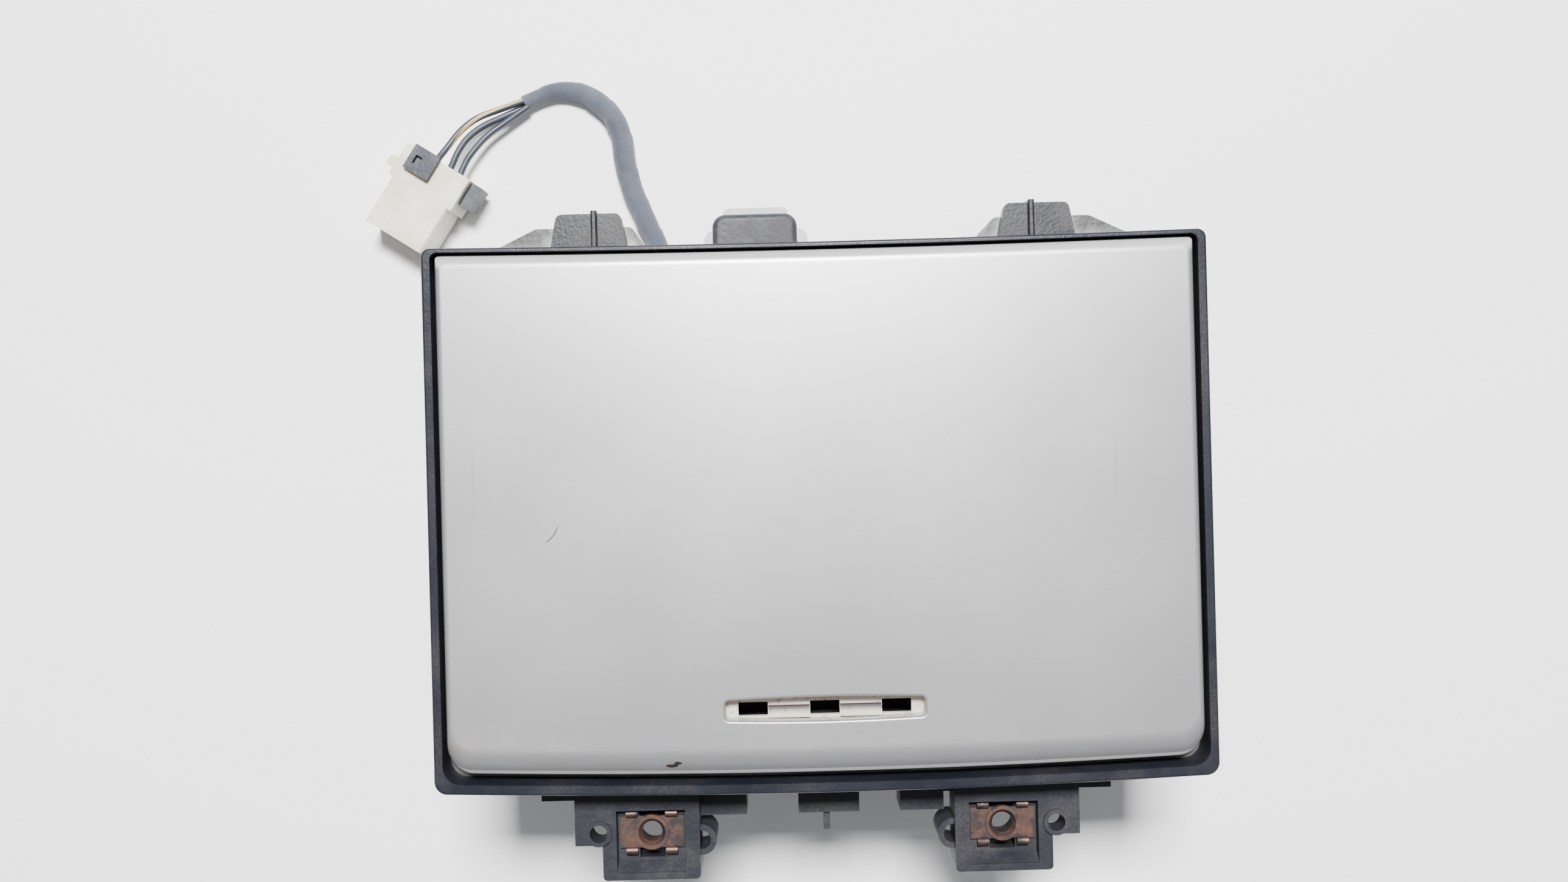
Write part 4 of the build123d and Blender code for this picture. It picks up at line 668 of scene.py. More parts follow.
ivory_nylon = nylon_finish()
retainer_plastic = worn_finish("retainer_plastic", (0.030, 0.034, 0.046), GREY_DUST_AND_SHEEN, 0.10, 0.45,
                               patch=120.0, Specular_IOR_Level=0.25)
bulb_glass = clear_finish("bulb_glass", (0.92, 0.93, 0.94), 0.03)
lens_green = clear_finish("lens_green", (0.25, 0.66, 0.34), 0.12)


# %% [markdown]
# Cloth tape has a fine weave, and its finish is drawn on the tube's own UV map: one direction
# runs along the bundle and the other around it. The same map places the tracer stripe on the
# insulation of one wire.

# %% Cloth tape and wire insulation
def tape_finish():
    made, tree, shader = new_material("cloth_tape", Sheen_Weight=0.16, Sheen_Roughness=0.5)
    uv = add(tree, "ShaderNodeTexCoord").outputs["UV"]
    warp = add(tree, "ShaderNodeTexWave",
               {"Vector": add(tree, "ShaderNodeMapping",
                              {"Vector": uv, "Scale": (130.0, 2.0, 1.0)}).outputs[0],
                "Scale": 1.0, "Distortion": 0.6}, bands_direction="X")
    weft = add(tree, "ShaderNodeTexWave",
               {"Vector": add(tree, "ShaderNodeMapping",
                              {"Vector": uv, "Scale": (4.0, 26.0, 1.0)}).outputs[0],
                "Scale": 1.0, "Distortion": 0.6}, bands_direction="Y")
    weave = maths(tree, "MULTIPLY", warp.outputs["Fac"], weft.outputs["Fac"])
    place = add(tree, "ShaderNodeTexCoord")
    fade = add(tree, "ShaderNodeTexNoise",
               {"Vector": place.outputs["Object"], "Scale": 70.0, "Detail": 5.0})
    base = blend_colour(tree, between(tree, fade.outputs[0], 0.35, 0.7),
                        (0.034, 0.043, 0.068, 1), (0.062, 0.073, 0.106, 1))
    base = blend_colour(tree, maths(tree, "MULTIPLY", weave, 0.35), base,
                        (0.11, 0.12, 0.15, 1))
    dusty = place_group(tree, dust_group, Under=base, Dust=(0.17, 0.165, 0.17, 1), Amount=0.3,
                        Patch=55.0, Reach=0.3)
    tree.links.new(dusty.outputs["Color"], shader.inputs["Base Color"])
    tree.links.new(between(tree, fade.outputs[0], 0.3, 0.7, 0.62, 0.8),
                   shader.inputs["Roughness"])
    bump(tree, shader, weave, 0.00006)
    return made


def insulation_finish(name, colour, stripe=None):
    made, tree, shader = new_material(name)
    uv = add(tree, "ShaderNodeTexCoord").outputs["UV"]
    place = add(tree, "ShaderNodeTexCoord")
    grime = add(tree, "ShaderNodeTexNoise",
                {"Vector": place.outputs["Object"], "Scale": 220.0, "Detail": 4.0})
    low = tuple(0.7 * c for c in colour) + (1.0,)
    base = blend_colour(tree, grime.outputs[0], low, tuple(1.3 * c for c in colour) + (1.0,))
    if stripe:
        split = add(tree, "ShaderNodeSeparateXYZ", {"Vector": uv})
        around = maths(tree, "FRACT", maths(tree, "ADD", split.outputs["Y"],
                                            maths(tree, "MULTIPLY", split.outputs["X"], 0.5)))
        off = maths(tree, "ABSOLUTE", maths(tree, "SUBTRACT", around, 0.30))
        band = between(tree, off, 0.075, 0.095, 1.0, 0.0)
        base = blend_colour(tree, band, base, stripe + (1.0,))
    tree.links.new(base, shader.inputs["Base Color"])
    tree.links.new(between(tree, grime.outputs[0], 0.3, 0.7, 0.34, 0.52),
                   shader.inputs["Roughness"])
    bump(tree, shader, grime.outputs[0], 0.00002)
    return made


cloth_tape = tape_finish()
insulation = insulation_finish("dark_insulation", (0.030, 0.035, 0.050))
tracer_insulation = insulation_finish("tracer_insulation", (0.030, 0.035, 0.050),
                                      (0.42, 0.29, 0.11))
inner_insulation = insulation_finish("inner_insulation", (0.020, 0.020, 0.022))
print("materials", len(bpy.data.materials))

# %% Give the harness its finishes and say that it is a cord
CORD_NODES = {"harness_tape": "harness_bundle", "wire_with_tracer": "wire_striped",
              "wire_beside": "wire_dark", "wire_apart": "wire_single"}
PLUG_PARTS = {"wire_with_tracer": "plug_housing", "wire_beside": "plug_retainers",
              "wire_apart": "plug_terminals"}


def put_on(piece, finish_made, body, slot, *replaced):
    """Finish a new piece, make it ride on its body and let it stand for CAD nodes."""
    piece.data.materials.clear()
    piece.data.materials.append(finish_made)
    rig.ride(piece, body)
    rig.slot(piece, slot)
    if replaced:
        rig.replaces(piece, *replaced)
    return piece


put_on(tape, cloth_tape, "housing", "cloth_tape", CORD_NODES["harness_tape"])
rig.cord(tape, exit=tape_line[0], length=tape_length, diameter=TAPE_D, far_end="object",
        stiffness="medium", lay="loose", path=tape_line)
for name, (piece, points, length) in wires.items():
    striped = name == "wire_with_tracer"
    put_on(piece, tracer_insulation if striped else insulation, "housing",
           "lead_striped" if striped else "lead_black", CORD_NODES[name])
    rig.cord(piece, exit=points[0], length=length, diameter=WIRE_D, far_end="plug",
            stiffness="limp", lay="loose", path=points, with_pieces=[NODES[PLUG_PARTS[name]]])

# %% [markdown]
# The lid is the part everyone sees, and each of its edges is different. At the hinge it rolls
# over, so that it turns clear of the frame. At the sides it is nearly sharp. At the grip edge it
# slopes down gently to a small flat lip that sticks out. One outline is extruded ring by ring:
# each ring is the outline drawn in towards its middle, a step higher up its own edge.

# %% Sizes of the lid, in metres
lid_low, lid_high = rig.box("lid_skin")
FRONT = lid_high.z
BACK = lid_low.z
LID_HALF = lid_high.x
LID_TOP_SAG = 0.7 * MM
LID_BOW = 1.8 * MM
LID_TOP = lid_high.y - LID_TOP_SAG + 0.2 * MM
LIP_OUT = 0.8 * MM
LID_BOTTOM = lid_low.y + LIP_OUT
HINGE = Vector(frame["joints"][0]["pos_m"])
SIDE_R = 1.5 * MM
HINGE_DROP = 4.0 * MM
HINGE_IN = 3.3 * MM
GRIP_DROP = 1.9 * MM
GRIP_IN = 5.2 * MM
SKIN = 1.4 * MM
WELD = 0.001 * MM
TOP_CORNER = 1.4 * MM
LOW_CORNER = 5.6 * MM
MIDDLE_Y = (LID_TOP + LID_BOTTOM) / 2
print("lid", round(2 * LID_HALF, 4), "by", round(LID_TOP - LID_BOTTOM, 4), "m")


def bow_y(x, end_y, middle_y, half):
    """Height of a shallow arc that passes through its two ends and its middle."""
    part = x / half
    return middle_y + (end_y - middle_y) * part * part


# %% The lid's outline as one flat face with rounded corners
CORNER_ROOM = 1.6
CORNER_STEPS = 10
SAME = 1e-7


def flat_outline(half, top, top_sag, bottom, bow, steps, corners, side_marks=()):
    """A face between two shallow arcs; corners is the radius of each pair of corners."""
    bm = bmesh.new()
    order = bm.verts.layers.int.new("order")
    reach = max(corners) * CORNER_ROOM
    xs = [-half] + [(-half + reach) + (2 * half - 2 * reach) * i / steps
                    for i in range(steps + 1)] + [half]
    ring = [(x, bow_y(x, bottom + bow, bottom, half)) for x in xs]
    ring += [(half, y) for y in side_marks]
    ring += [(x, bow_y(x, top + top_sag, top, half)) for x in reversed(xs)]
    ring += [(-half, y) for y in reversed(side_marks)]
    verts = [bm.verts.new((x, y, 0.0)) for x, y in ring]
    bm.faces.new(verts)
    for at_top, radius in ((True, corners[0]), (False, corners[1])):
        picked = [v for v in bm.verts if abs(abs(v.co.x) - half) < SAME
                  and not any(abs(v.co.y - y) < SAME for y in side_marks)
                  and (v.co.y > (top + bottom) / 2) == at_top]
        bmesh.ops.bevel(bm, geom=picked, affect="VERTICES", offset=radius,
                        segments=CORNER_STEPS,
                        profile=0.5, material=-1, offset_type="OFFSET")
    bm.faces.ensure_lookup_table()
    face = bm.faces[0]
    for i, vertex in enumerate(face.verts):
        vertex[order] = i
    return bm, face, order


def out_directions(face):
    """For each point of a face, the way out of it, in its own plane."""
    points = [v.co.copy() for v in face.verts]
    ways = []
    for i, here in enumerate(points):
        before = (here - points[i - 1]).normalized()
        after = (points[(i + 1) % len(points)] - here).normalized()
        along = (before + after).normalized()
        ways.append(Vector((along.y, -along.x, 0.0)))
    return points, ways


def next_ring(bm, face, order, where):
    """Extrude the face and put each new point where where(index) says."""
    new = bmesh.ops.extrude_face_region(bm, geom=[face])["geom"]
    face = [g for g in new if isinstance(g, bmesh.types.BMFace)][0]
    for vertex in face.verts:
        vertex.co = where(vertex[order])
    return face


# %% Loft the outside of the lid
ROLL_STEPS = 12
OUTLINE_STEPS = 40
FLAT_SHARE = 1.12
CUT_Y = HINGE.y + 0.5 * MM
SIDE_MARKS = (LID_BOTTOM + 12 * MM, MIDDLE_Y, CUT_Y - 1.5 * MM, CUT_Y - 0.05 * MM,
              CUT_Y + 0.05 * MM)
bm, face, order = flat_outline(
    LID_HALF, LID_TOP, LID_TOP_SAG, LID_BOTTOM, LID_BOW, OUTLINE_STEPS,
    (TOP_CORNER, LOW_CORNER), SIDE_MARKS)
outline, ways = out_directions(face)


def lid_ring(share, out=0.0, level=None):
    """Positions for one ring, a share of the way up the rolled edge; level holds it lower."""
    angle = HALF_PI * min(share, 1.0)
    beyond = max(share - 1.0, 0.0)
    round_in = 1.0 - math.cos(angle) + beyond
    round_drop = 1.0 - math.sin(angle)

    def where(i):
        point = outline[i]
        way = ways[i]
        hinge_side = point.y > MIDDLE_Y
        end = LID_TOP if hinge_side else LID_BOTTOM
        drawn = HINGE_IN * round_in if hinge_side else GRIP_IN * share
        drop = HINGE_DROP * round_drop if hinge_side else GRIP_DROP * max(0.0, 1.0 - share) ** 2
        x = point.x * (1.0 - SIDE_R * round_in / LID_HALF)
        y = MIDDLE_Y + (point.y - MIDDLE_Y) * (1.0 - drawn / abs(end - MIDDLE_Y))
        y -= out * max(0.0, -way.y) ** 2
        z = FRONT - SIDE_R * round_drop * way.x ** 2 - drop * way.y ** 2
        if level is not None:
            z = min(level, z)
        if point.y > CUT_Y and z < HINGE.z:
            z = HINGE.z
        return Vector((x, y, z))
    return where


LIP_TOP = FRONT - GRIP_DROP - 0.06 * MM
start = lid_ring(0.0, 0.0, BACK)
for vertex in face.verts:
    vertex.co = start(vertex[order])
# how far out the lip is, as a share of its whole reach, at each height from its top
LIP_PROFILE = ((0.0, -1.0 * MM), (1.0, -0.8 * MM), (1.0, -0.25 * MM), (0.9, -0.07 * MM),
               (0.7, 0.0), (0.0, 0.05 * MM))
for out, up in LIP_PROFILE:
    face = next_ring(bm, face, order, lid_ring(0.0, LIP_OUT * out, LIP_TOP + up))
for step in range(ROLL_STEPS + 1):
    face = next_ring(bm, face, order, lid_ring(step / ROLL_STEPS))
face = next_ring(bm, face, order, lid_ring(FLAT_SHARE))
bmesh.ops.delete(bm, geom=[face], context="FACES_ONLY")
underside = [f for f in bm.faces if len(f.verts) > 20]
bmesh.ops.delete(bm, geom=underside, context="FACES_ONLY")
print("lid outside has", len(bm.faces), "faces")

# %% [markdown]
# The finger recess is lens-shaped, with three windows through its floor and two scooped ribs
# between them. It is lofted downwards in the same way as the lid's edge was lofted up, and its
# windows are left open when the floor is filled, so the lid's thickness gives them walls.

# %% The finger recess
GRIP_Y = LID_BOTTOM + 13.9 * MM
GRIP_HALF = 22.8 * MM
GRIP_MIDDLE = 2.72 * MM
GRIP_END = 2.22 * MM
GRIP_DEPTH = 4.4 * MM
GRIP_CORNER = 1.0 * MM
LEAD_IN = 0.5 * MM
RIM_STEPS = 6
RIM_SPREAD = 0.25 * MM
WELL_STEPS = 16
# how far the wall has grown and how deep it is, in the rounding at the floor
FOOT_PROFILE = ((0.0, -0.5 * MM), (-0.03 * MM, -0.15 * MM), (-0.1 * MM, 0.0))
WINDOW_PITCH = 16.5 * MM
RIB_HALF = 4.83 * MM
WINDOW_W = 6.8 * MM
WINDOW_H = 3.2 * MM
WINDOW_UP = -0.52 * MM
WINDOW_CORNER = 0.25 * MM


def copy_into(target, source):
    """Add one bmesh to another by way of a passing mesh."""
    passing = bpy.data.meshes.new("passing")
    source.to_mesh(passing)
    source.free()
    target.from_mesh(passing)
    bpy.data.meshes.remove(passing)


well, floor_face, well_order = flat_outline(
    GRIP_HALF, GRIP_MIDDLE, GRIP_END - GRIP_MIDDLE, -GRIP_MIDDLE, GRIP_MIDDLE - GRIP_END,
    WELL_STEPS, (GRIP_CORNER, GRIP_CORNER))
well_outline, well_ways = out_directions(floor_face)


def well_ring(grown, depth):
    def where(i):
        point = well_outline[i] + well_ways[i] * grown
        return Vector((point.x, GRIP_Y + point.y, FRONT - depth))
    return where


first = well_ring(LEAD_IN + RIM_SPREAD, 0.0)
for vertex in floor_face.verts:
    vertex.co = first(vertex[well_order])
for step in range(RIM_STEPS + 1):
    angle = HALF_PI * step / RIM_STEPS
    ring = well_ring(LEAD_IN * (1.0 - math.sin(angle)), LEAD_IN * (1.0 - math.cos(angle)))
    floor_face = next_ring(well, floor_face, well_order, ring)
for grown, up in FOOT_PROFILE:
    ring = well_ring(grown, GRIP_DEPTH + up)
    floor_face = next_ring(well, floor_face, well_order, ring)
floor_rim = list(floor_face.edges)
bmesh.ops.delete(well, geom=[floor_face], context="FACES_ONLY")
lid_of_well = [f for f in well.faces if len(f.verts) > 20]
bmesh.ops.delete(well, geom=lid_of_well, context="FACES_ONLY")

# %% Fill the recess floor round its windows
window_edges = []
for at in (-WINDOW_PITCH, 0.0, WINDOW_PITCH):
    place = Matrix.Translation((at, GRIP_Y + WINDOW_UP, FRONT - GRIP_DEPTH))
    size = Matrix.Diagonal((WINDOW_W, WINDOW_H, 1.0, 1.0))
    made = bmesh.ops.create_grid(well, x_segments=1, y_segments=1, size=0.5,
                                 matrix=place @ size)
    corners = made["verts"]
    pane = corners[0].link_faces[0]
    bmesh.ops.bevel(well, geom=list(pane.verts), affect="VERTICES", offset=WINDOW_CORNER,
                    segments=3, profile=0.5, material=-1)
    pane = [f for f in well.faces
            if (f.calc_center_median() - place.translation).length < 0.1 * MM][0]
    window_edges += list(pane.edges)
    bmesh.ops.delete(well, geom=[pane], context="FACES_ONLY")
bmesh.ops.triangle_fill(well, use_beauty=True, edges=floor_rim + window_edges,
                        normal=(0, 0, 1))
copy_into(bm, well)

# %% Fill the lid's front round the recess
bm.edges.ensure_lookup_table()
front_rim = [e for e in bm.edges if len(e.link_faces) == 1
             and all(abs(v.co.z - FRONT) < SAME for v in e.verts)]
bmesh.ops.triangle_fill(bm, use_beauty=True, edges=front_rim, normal=(0, 0, 1))
bmesh.ops.remove_doubles(bm, verts=list(bm.verts), dist=2 * WELD)
bmesh.ops.dissolve_degenerate(bm, edges=list(bm.edges), dist=WELD)
bmesh.ops.recalc_face_normals(bm, faces=list(bm.faces))
up = sum(f.normal.z * f.calc_area() for f in bm.faces)
if up < 0:
    bmesh.ops.reverse_faces(bm, faces=list(bm.faces))
print("lid sheet", len(bm.faces), "faces, area up", round(abs(up), 5))

# %% Give the lid its wall and its ribs
bmesh.ops.solidify(bm, geom=list(bm.faces), thickness=SKIN)


SCOOP_R = 4.6 * MM
SCOOP_UP = 1.3 * MM
SCOOP_FROM = math.radians(38.0)
SCOOP_TURN = math.radians(88.0)
SCOOP_STEPS = 14
RIB_FOOT = 0.6 * MM


def scooped_rib(at):
    """A rib with a hollow cut by a cylinder, made by spinning one edge."""
    rib = bmesh.new()
    centre = Vector((at, GRIP_Y + SCOOP_UP, FRONT))
    start_at = centre + Vector((0, -SCOOP_R * math.cos(SCOOP_FROM),
                                -SCOOP_R * math.sin(SCOOP_FROM)))
    pair = [rib.verts.new(start_at + Vector((s * RIB_HALF, 0, 0))) for s in (-1, 1)]
    edge = rib.edges.new(pair)
    bmesh.ops.spin(rib, geom=pair + [edge], cent=centre, axis=(1, 0, 0),
                   angle=SCOOP_TURN, steps=SCOOP_STEPS)
    foot = bmesh.ops.extrude_face_region(rib, geom=list(rib.faces))["geom"]
    for vertex in [g for g in foot if isinstance(g, bmesh.types.BMVert)]:
        vertex.co.z = FRONT - GRIP_DEPTH - RIB_FOOT
    bmesh.ops.recalc_face_normals(rib, faces=list(rib.faces))
    return rib


for at in (-WINDOW_PITCH / 2, WINDOW_PITCH / 2):
    copy_into(bm, scooped_rib(at))


def to_piece(name, bm, sharp=40.0):
    """A smooth-shaded object from a bmesh, with its real corners kept sharp."""
    for f in bm.faces:
        f.smooth = True
    limit = math.radians(sharp)
    for e in bm.edges:
        e.smooth = not (len(e.link_faces) == 2 and e.calc_face_angle(0.0) > limit)
    mesh = bpy.data.meshes.new(name)
    bm.to_mesh(mesh)
    bm.free()
    print(name, len(mesh.polygons), "faces")
    return link(bpy.data.objects.new(name, mesh))


lid_cover = to_piece("lid_cover", bm)


# %% [markdown]
# The silver is a paint with fine metal flake over plastic: mostly metallic, quite rough, so it
# mirrors the room only as a soft gradient. Years of use left a chip at the grip edge, one
# curved scratch, faint smears and brown grime along the grip edge, each placed by its distance
# from a spot on the lid.

# %% Silver paint with its wear
def spot(tree, point, at, size, edge, rough=0.0, grain_scale=900.0):
    """A soft-edged blot: one inside, nothing outside; size is its half width and height."""
    moved = add(tree, "ShaderNodeVectorMath", {0: point, 1: at}, operation="SUBTRACT")
    shrunk = add(tree, "ShaderNodeVectorMath",
                 {0: moved.outputs[0], 1: (1 / size[0], 1 / size[1], 0.0)},
                 operation="MULTIPLY")
    far = add(tree, "ShaderNodeVectorMath", {0: shrunk.outputs[0]}, operation="LENGTH")
    reach = far.outputs["Value"]
    if rough:
        noise = add(tree, "ShaderNodeTexNoise",
                    {"Vector": point, "Scale": grain_scale, "Detail": 3.0})
        reach = maths(tree, "ADD", reach, maths(tree, "MULTIPLY", noise.outputs[0], rough))
    return between(tree, reach, 1.0 - edge, 1.0 + edge, 1.0, 0.0)


# %% Where the lid's marks are, and their colours
PAINT_METAL = 0.7
PLASTIC_SHINE = 0.5
PAINT_DARK = (0.340, 0.345, 0.355, 1)
PAINT_LIGHT = (0.375, 0.375, 0.382, 1)
SPARKLE = (0.55, 0.55, 0.57, 1)
GRIME = (0.20, 0.15, 0.10, 1)
GRIME_REACH = 16.0 * MM
GRIME_THICK_TO = -86.0 * MM
GRIME_THIN_FROM = -20.0 * MM
CREAM = (0.52, 0.49, 0.44, 1)
CREAM_SIZE = (24.5 * MM, 5.2 * MM)
DIRT = (0.16, 0.12, 0.10, 1)
# painted shade: the shadow that the recess's upper wall casts into each rib's scoop
PAINTED_RIB_SHADE = (0.030, 0.024, 0.026, 1)
SMEAR = (0.20, 0.24, 0.22, 1)
SMEARS = (((-78.5 * MM, 16.5 * MM, 0.0), (0.7 * MM, 10.0 * MM)),
          ((67.2 * MM, 15.0 * MM, 0.0), (0.6 * MM, 9.0 * MM)))
SCRATCH = (0.06, 0.06, 0.06, 1)
SCRATCH_CENTRE = (-65.2 * MM, 6.2 * MM, 0.0)
SCRATCH_RADIUS = 5.8 * MM
SCRATCH_PART = (-60.6 * MM, 2.6 * MM, 0.0)
SCRATCH_SIZE = (2.2 * MM, 2.4 * MM)
UNDER_PAINT = (0.020, 0.016, 0.014, 1)
CHIPS = (((-35.1 * MM, -50.5 * MM, 0.0), (2.4 * MM, 0.9 * MM), 0.08, 0.9, 700.0),
         ((-33.8 * MM, -49.9 * MM, 0.0), (1.4 * MM, 0.7 * MM), 0.10, 0.7, 900.0))
CHALKY_FROM = LID_TOP - 3.4 * MM
CHALKY_TO = LID_TOP - 1.6 * MM


def grime_mask(tree, place, split):
    """Brown grime, thick at the left of the grip edge and thin along the rest of it."""
    noise = add(tree, "ShaderNodeTexNoise",
                {"Vector": place, "Scale": 120.0, "Detail": 7.0, "Roughness": 0.7})
    low = between(tree, split.outputs["Y"], LID_BOTTOM, LID_BOTTOM + GRIME_REACH, 1.0, 0.0)
    left = between(tree, split.outputs["X"], GRIME_THICK_TO, GRIME_THIN_FROM, 1.0, 0.25)
    near = maths(tree, "MULTIPLY", low, left)
    return maths(tree, "MULTIPLY", near, between(tree, noise.outputs[0], 0.45, 0.72), True)


def cream_mask(tree, flat, split):
    """The recess, below the rounding of its rim."""
    deep = between(tree, split.outputs["Z"], FRONT - 0.9 * MM, FRONT - 0.25 * MM, 1.0, 0.0)
    return maths(tree, "MULTIPLY", deep, spot(tree, flat, (0.0, GRIP_Y, 0.0), CREAM_SIZE, 0.02))


def painted_rib_shade_mask(tree, split, cream):
    """A painted shade along the middle of each rib, for the shadow that the recess's upper wall casts into the scoop;
    it fades towards the grip edge.
    """
    across = maths(tree, "ABSOLUTE", split.outputs["X"])
    across = maths(tree, "ABSOLUTE", maths(tree, "SUBTRACT", across, WINDOW_PITCH / 2))
    on_rib = between(tree, across, RIB_HALF - 0.1 * MM, RIB_HALF, 1.0, 0.0)
    fade = between(tree, split.outputs["Y"], GRIP_Y - 1.9 * MM, GRIP_Y - 0.1 * MM)
    edge = between(tree, split.outputs["Y"], GRIP_Y + 0.2 * MM, GRIP_Y + 0.35 * MM, 1.0, 0.0)
    return maths(tree, "MULTIPLY", maths(tree, "MULTIPLY", fade, edge),
                 maths(tree, "MULTIPLY", on_rib, cream))


def scratch_mask(tree, flat):
    """One curved scratch: a thin ring cut down to a short arc."""
    offset = add(tree, "ShaderNodeVectorMath", {0: flat, 1: SCRATCH_CENTRE},
                 operation="SUBTRACT")
    away = add(tree, "ShaderNodeVectorMath", {0: offset.outputs[0]}, operation="LENGTH")
    off_ring = maths(tree, "SUBTRACT", away.outputs["Value"], SCRATCH_RADIUS)
    thin = between(tree, maths(tree, "ABSOLUTE", off_ring), 0.06 * MM, 0.16 * MM, 1.0, 0.0)
    return maths(tree, "MULTIPLY", thin, spot(tree, flat, SCRATCH_PART, SCRATCH_SIZE, 0.25))


# %% Silver paint with its wear and a painted shade in the rib scoops, one mark laid over the next
def silver_finish():
    made, tree, shader = new_material("silver_paint")
    place = add(tree, "ShaderNodeTexCoord").outputs["Object"]
    flat = add(tree, "ShaderNodeVectorMath", {0: place, 1: (1.0, 1.0, 0.0)},
               operation="MULTIPLY").outputs[0]
    split = add(tree, "ShaderNodeSeparateXYZ", {"Vector": place})
    flake = add(tree, "ShaderNodeTexVoronoi", {"Vector": place, "Scale": 5200.0})
    tone = add(tree, "ShaderNodeTexNoise", {"Vector": place, "Scale": 14.0, "Detail": 4.0})
    smudge = add(tree, "ShaderNodeTexNoise", {"Vector": place, "Scale": 700.0, "Detail": 4.0})
    grime = grime_mask(tree, place, split)
    cream = cream_mask(tree, flat, split)
    dirty = maths(tree, "MULTIPLY", cream, between(tree, smudge.outputs[0], 0.55, 0.7))
    smears = maths(tree, "MAXIMUM", *[spot(tree, flat, at, size, 0.5, 0.8, 300.0)
                                      for at, size in SMEARS])
    chip = maths(tree, "MAXIMUM", *[spot(tree, flat, *mark) for mark in CHIPS])
    marks = place_group(tree, scratch_group, Amount=0.18, Turn=1.1)
    base = blend_colour(tree, tone.outputs[0], PAINT_DARK, PAINT_LIGHT)
    for mask, share, colour in (
            (flake.outputs["Distance"], 0.22, SPARKLE), (grime, 0.7, GRIME),
            (cream, 1.0, CREAM), (dirty, 0.6, DIRT),
            (painted_rib_shade_mask(tree, split, cream), 1.0, PAINTED_RIB_SHADE), (smears, 0.35, SMEAR),
            (scratch_mask(tree, flat), 1.0, SCRATCH), (chip, 1.0, UNDER_PAINT),
            (marks.outputs["Mask"], 1.0, (0.50, 0.50, 0.51, 1))):
        base = blend_colour(tree, maths(tree, "MULTIPLY", mask, share), base, colour)
    tree.links.new(base, shader.inputs["Base Color"])
    # bare plastic isn't metallic, and neither is the chalky paint of the hinge roll
    chalky = between(tree, split.outputs["Y"], CHALKY_FROM, CHALKY_TO, 0.0, 0.85)
    bare = maths(tree, "MAXIMUM", maths(tree, "MAXIMUM", chip, cream), chalky)
    metal = maths(tree, "SUBTRACT", PAINT_METAL, maths(tree, "MULTIPLY", bare, PAINT_METAL),
                  True)
    tree.links.new(metal, shader.inputs["Metallic"])
    dull = maths(tree, "SUBTRACT", PLASTIC_SHINE, maths(tree, "MULTIPLY", cream, 0.46), True)
    tree.links.new(dull, shader.inputs["Specular IOR Level"])
    rough = between(tree, tone.outputs[0], 0.3, 0.7, 0.35, 0.41)
    rough = maths(tree, "ADD", rough, maths(tree, "MULTIPLY", grime, 0.3), True)
    tree.links.new(rough, shader.inputs["Roughness"])
    height = maths(tree, "MULTIPLY", flake.outputs["Distance"], 0.10)
    bump(tree, shader, maths(tree, "SUBTRACT", height, chip), 0.06 * MM, 0.6)
    return made


put_on(lid_cover, silver_finish(), "lid", "silver_paint", "lid_skin")

# %% [markdown]
# The remaining pieces have their true shape already, so each CAD node only takes a finish.

# %% Finishes for the carried-over pieces
FINISHES = {
    bezel_plastic: ["bezel_frame"],
    shell_plastic: ["housing_shell", "rear_case", "rear_cover"],
    inside_plastic: ["lid_inner_panel", "inner_fascia", "ash_bin"],
    hood_plastic: ["lamp_hood"],
    holder_plastic: ["lamp_holder"],
    zinc_steel: ["cover_screws", "fascia_screws", "lid_screws", "damper_screw", "hinge_pins",
                 "striker", "socket_clamp", "lighter_seat", "lighter_sleeve"],
    liner_steel: ["ash_liner", "snuffer_bar"],
    spring_steel: ["lid_spring", "catch_spring", "lighter_spring"],
    acetal: ["sector_gear", "damper_pinion", "damper_body"],
    rubber: ["lid_bumpers", "cable_grommet"],
    chrome: ["socket_shell"],
    black_plastic: ["socket_ring", "socket_insulator", "fixing_lugs"],
    brass: ["socket_contact", "plug_terminals"],
    knob_plastic: ["lighter_knob"],
    ceramic: ["lighter_coil"],
    bulb_glass: ["lamp_bulb"],
    lens_green: ["lamp_lens"],
    copper_clip: ["spring_nuts"],
    inner_insulation: ["socket_lead", "lamp_lead"],
    ivory_nylon: ["plug_housing"],
    retainer_plastic: ["plug_retainers"],
}
for finish_made, names in FINISHES.items():
    for name in names:
        NODES[name].data.materials.clear()
        NODES[name].data.materials.append(finish_made)
done = {name for names in FINISHES.values() for name in names}
print("no finish yet:", sorted(set(NODES) - done - set(CORD_NODES.values()) - {"lid_skin"}))


# %% [markdown]
# Two springs change shape as their joints move. The hinge spring is blended between the
# housing and the lid along its own axis, so its coils wind up. The lighter's spring is squashed
# towards its fixed end.

# %% Springs that follow their joints
PRESS_TRAVEL = 4.0 * MM


def merged_copy(node, name):
    """A copy of a CAD node's mesh with its loose triangles joined."""
    bm = bmesh.new()
    bm.from_mesh(NODES[node].data)
    bmesh.ops.remove_doubles(bm, verts=list(bm.verts), dist=WELD)
    return to_piece(name, bm, 50.0)


spring_low, spring_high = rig.box("lid_spring")
coil = merged_copy("lid_spring", "hinge_spring")
coil.data.materials.append(spring_steel)
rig.slot(coil, "spring_steel")
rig.replaces(coil, "lid_spring")
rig.blend(coil, "housing", "lid", Vector((spring_low.x, HINGE.y, HINGE.z)),
         Vector((spring_high.x, HINGE.y, HINGE.z)))
press_low, press_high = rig.box("lighter_spring")
press_coil = merged_copy("lighter_spring", "return_spring")
put_on(press_coil, spring_steel, "housing", "spring_steel", "lighter_spring")
press_length = press_high.z - press_low.z
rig.squash(press_coil, "lighter_press", (0, 0, 1), (0.0, 0.0, press_low.z),
          keep=1.0 - PRESS_TRAVEL / press_length)
print("return spring", round(press_length, 4), "m long")

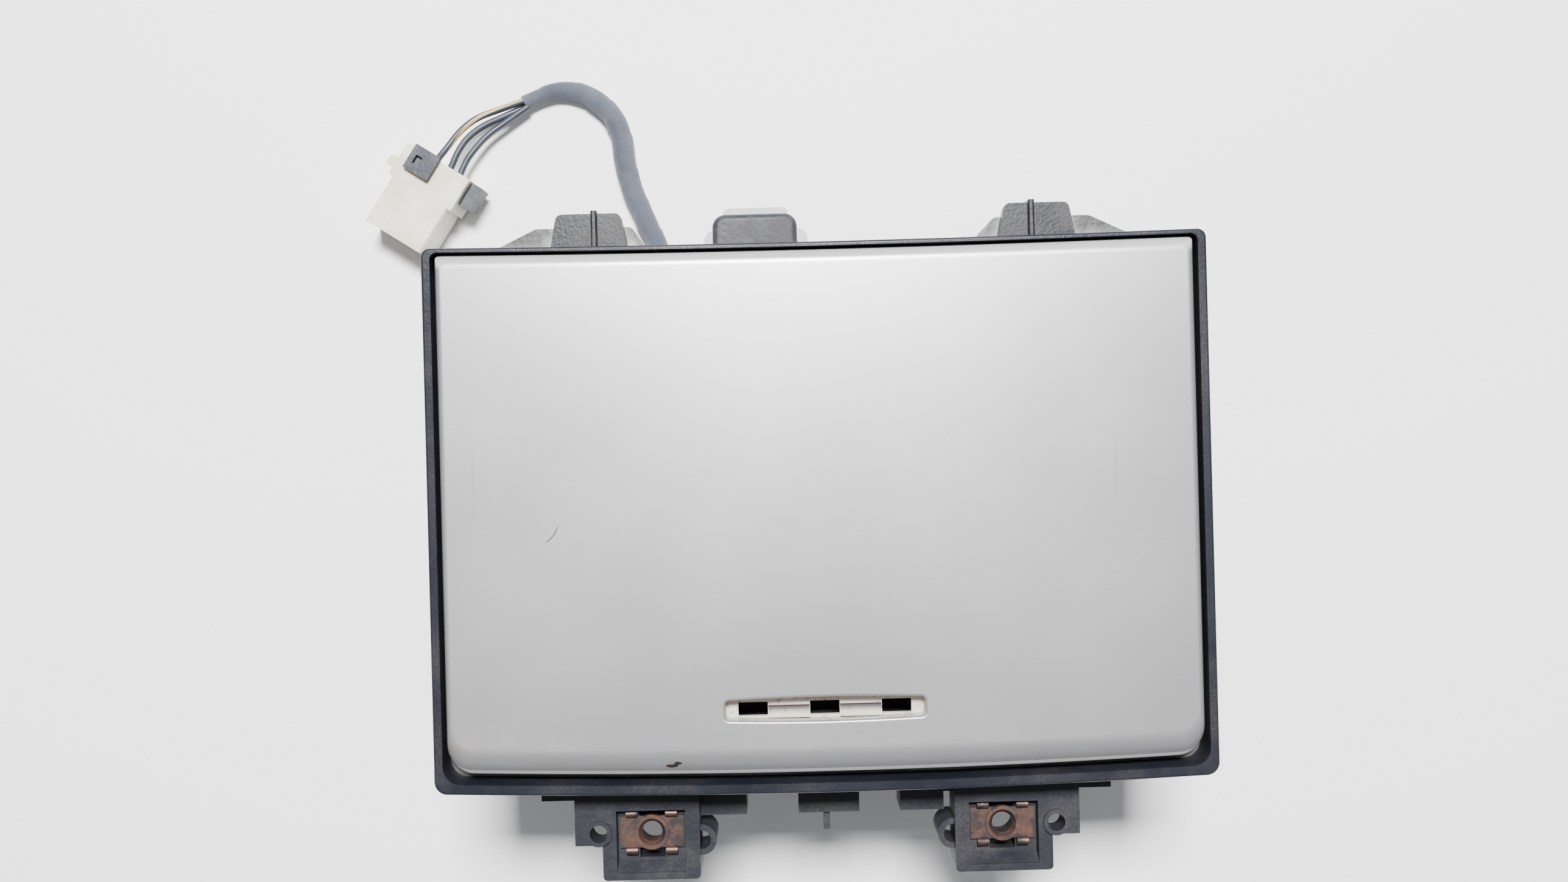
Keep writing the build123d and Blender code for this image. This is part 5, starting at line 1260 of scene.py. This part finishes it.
# %% [markdown]
# A plain pale table, one soft light high on the hinge side and a dim room. The light makes the
# lid brighter towards its hinge, and the shadows fall short on the grip side.

# %% Table, light and room
TABLE_HALF = 3.0
TABLE_DARK = (0.93, 0.932, 0.935, 1)
TABLE_LIGHT = (0.955, 0.955, 0.957, 1)
LIGHT_AT = (0.0, 0.52, 1.15)
LIGHT_AIM = (0.0, 0.02, 0.05)
LIGHT_SIZE = (0.34, 0.24)
LIGHT_POWER = 58.0
LIGHT_COLOUR = (1.0, 0.995, 0.985)
ROOM_COLOUR = (0.93, 0.96, 1.0, 1)
ROOM_STRENGTH = 0.34
bm = bmesh.new()
bmesh.ops.create_grid(bm, x_segments=1, y_segments=1, size=TABLE_HALF)
table = to_piece("table", bm)
table_paint, tree, shader = new_material("table_paint", Roughness=0.65)
cloudy = add(tree, "ShaderNodeTexNoise",
             {"Vector": add(tree, "ShaderNodeTexCoord").outputs["Object"], "Scale": 6.0,
              "Detail": 5.0})
tree.links.new(blend_colour(tree, cloudy.outputs[0], TABLE_DARK, TABLE_LIGHT),
               shader.inputs["Base Color"])
table.data.materials.append(table_paint)
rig.stage(table)

light_data = bpy.data.lights.new("softbox", "AREA")
light_data.shape = "RECTANGLE"
light_data.size, light_data.size_y = LIGHT_SIZE
light_data.energy = LIGHT_POWER
light_data.color = LIGHT_COLOUR
softbox = link(bpy.data.objects.new("softbox", light_data))
softbox.location = LIGHT_AT
shining = Vector(LIGHT_AIM) - Vector(LIGHT_AT)
softbox.rotation_euler = shining.to_track_quat("-Z", "Y").to_euler()
world = bpy.context.scene.world or bpy.data.worlds.new("room")
bpy.context.scene.world = world
world.use_nodes = True
background = world.node_tree.nodes["Background"]
background.inputs["Color"].default_value = ROOM_COLOUR
background.inputs["Strength"].default_value = ROOM_STRENGTH
print("light", LIGHT_POWER, "W, room", ROOM_STRENGTH)

# %% Measure and finish
new_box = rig.bounds()
with open("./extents.json", "w") as out_file:
    json.dump({"old": [list(c) for c in cad_box], "new": [list(c) for c in new_box]}, out_file)
print("size", [[round(v, 4) for v in c] for c in new_box])
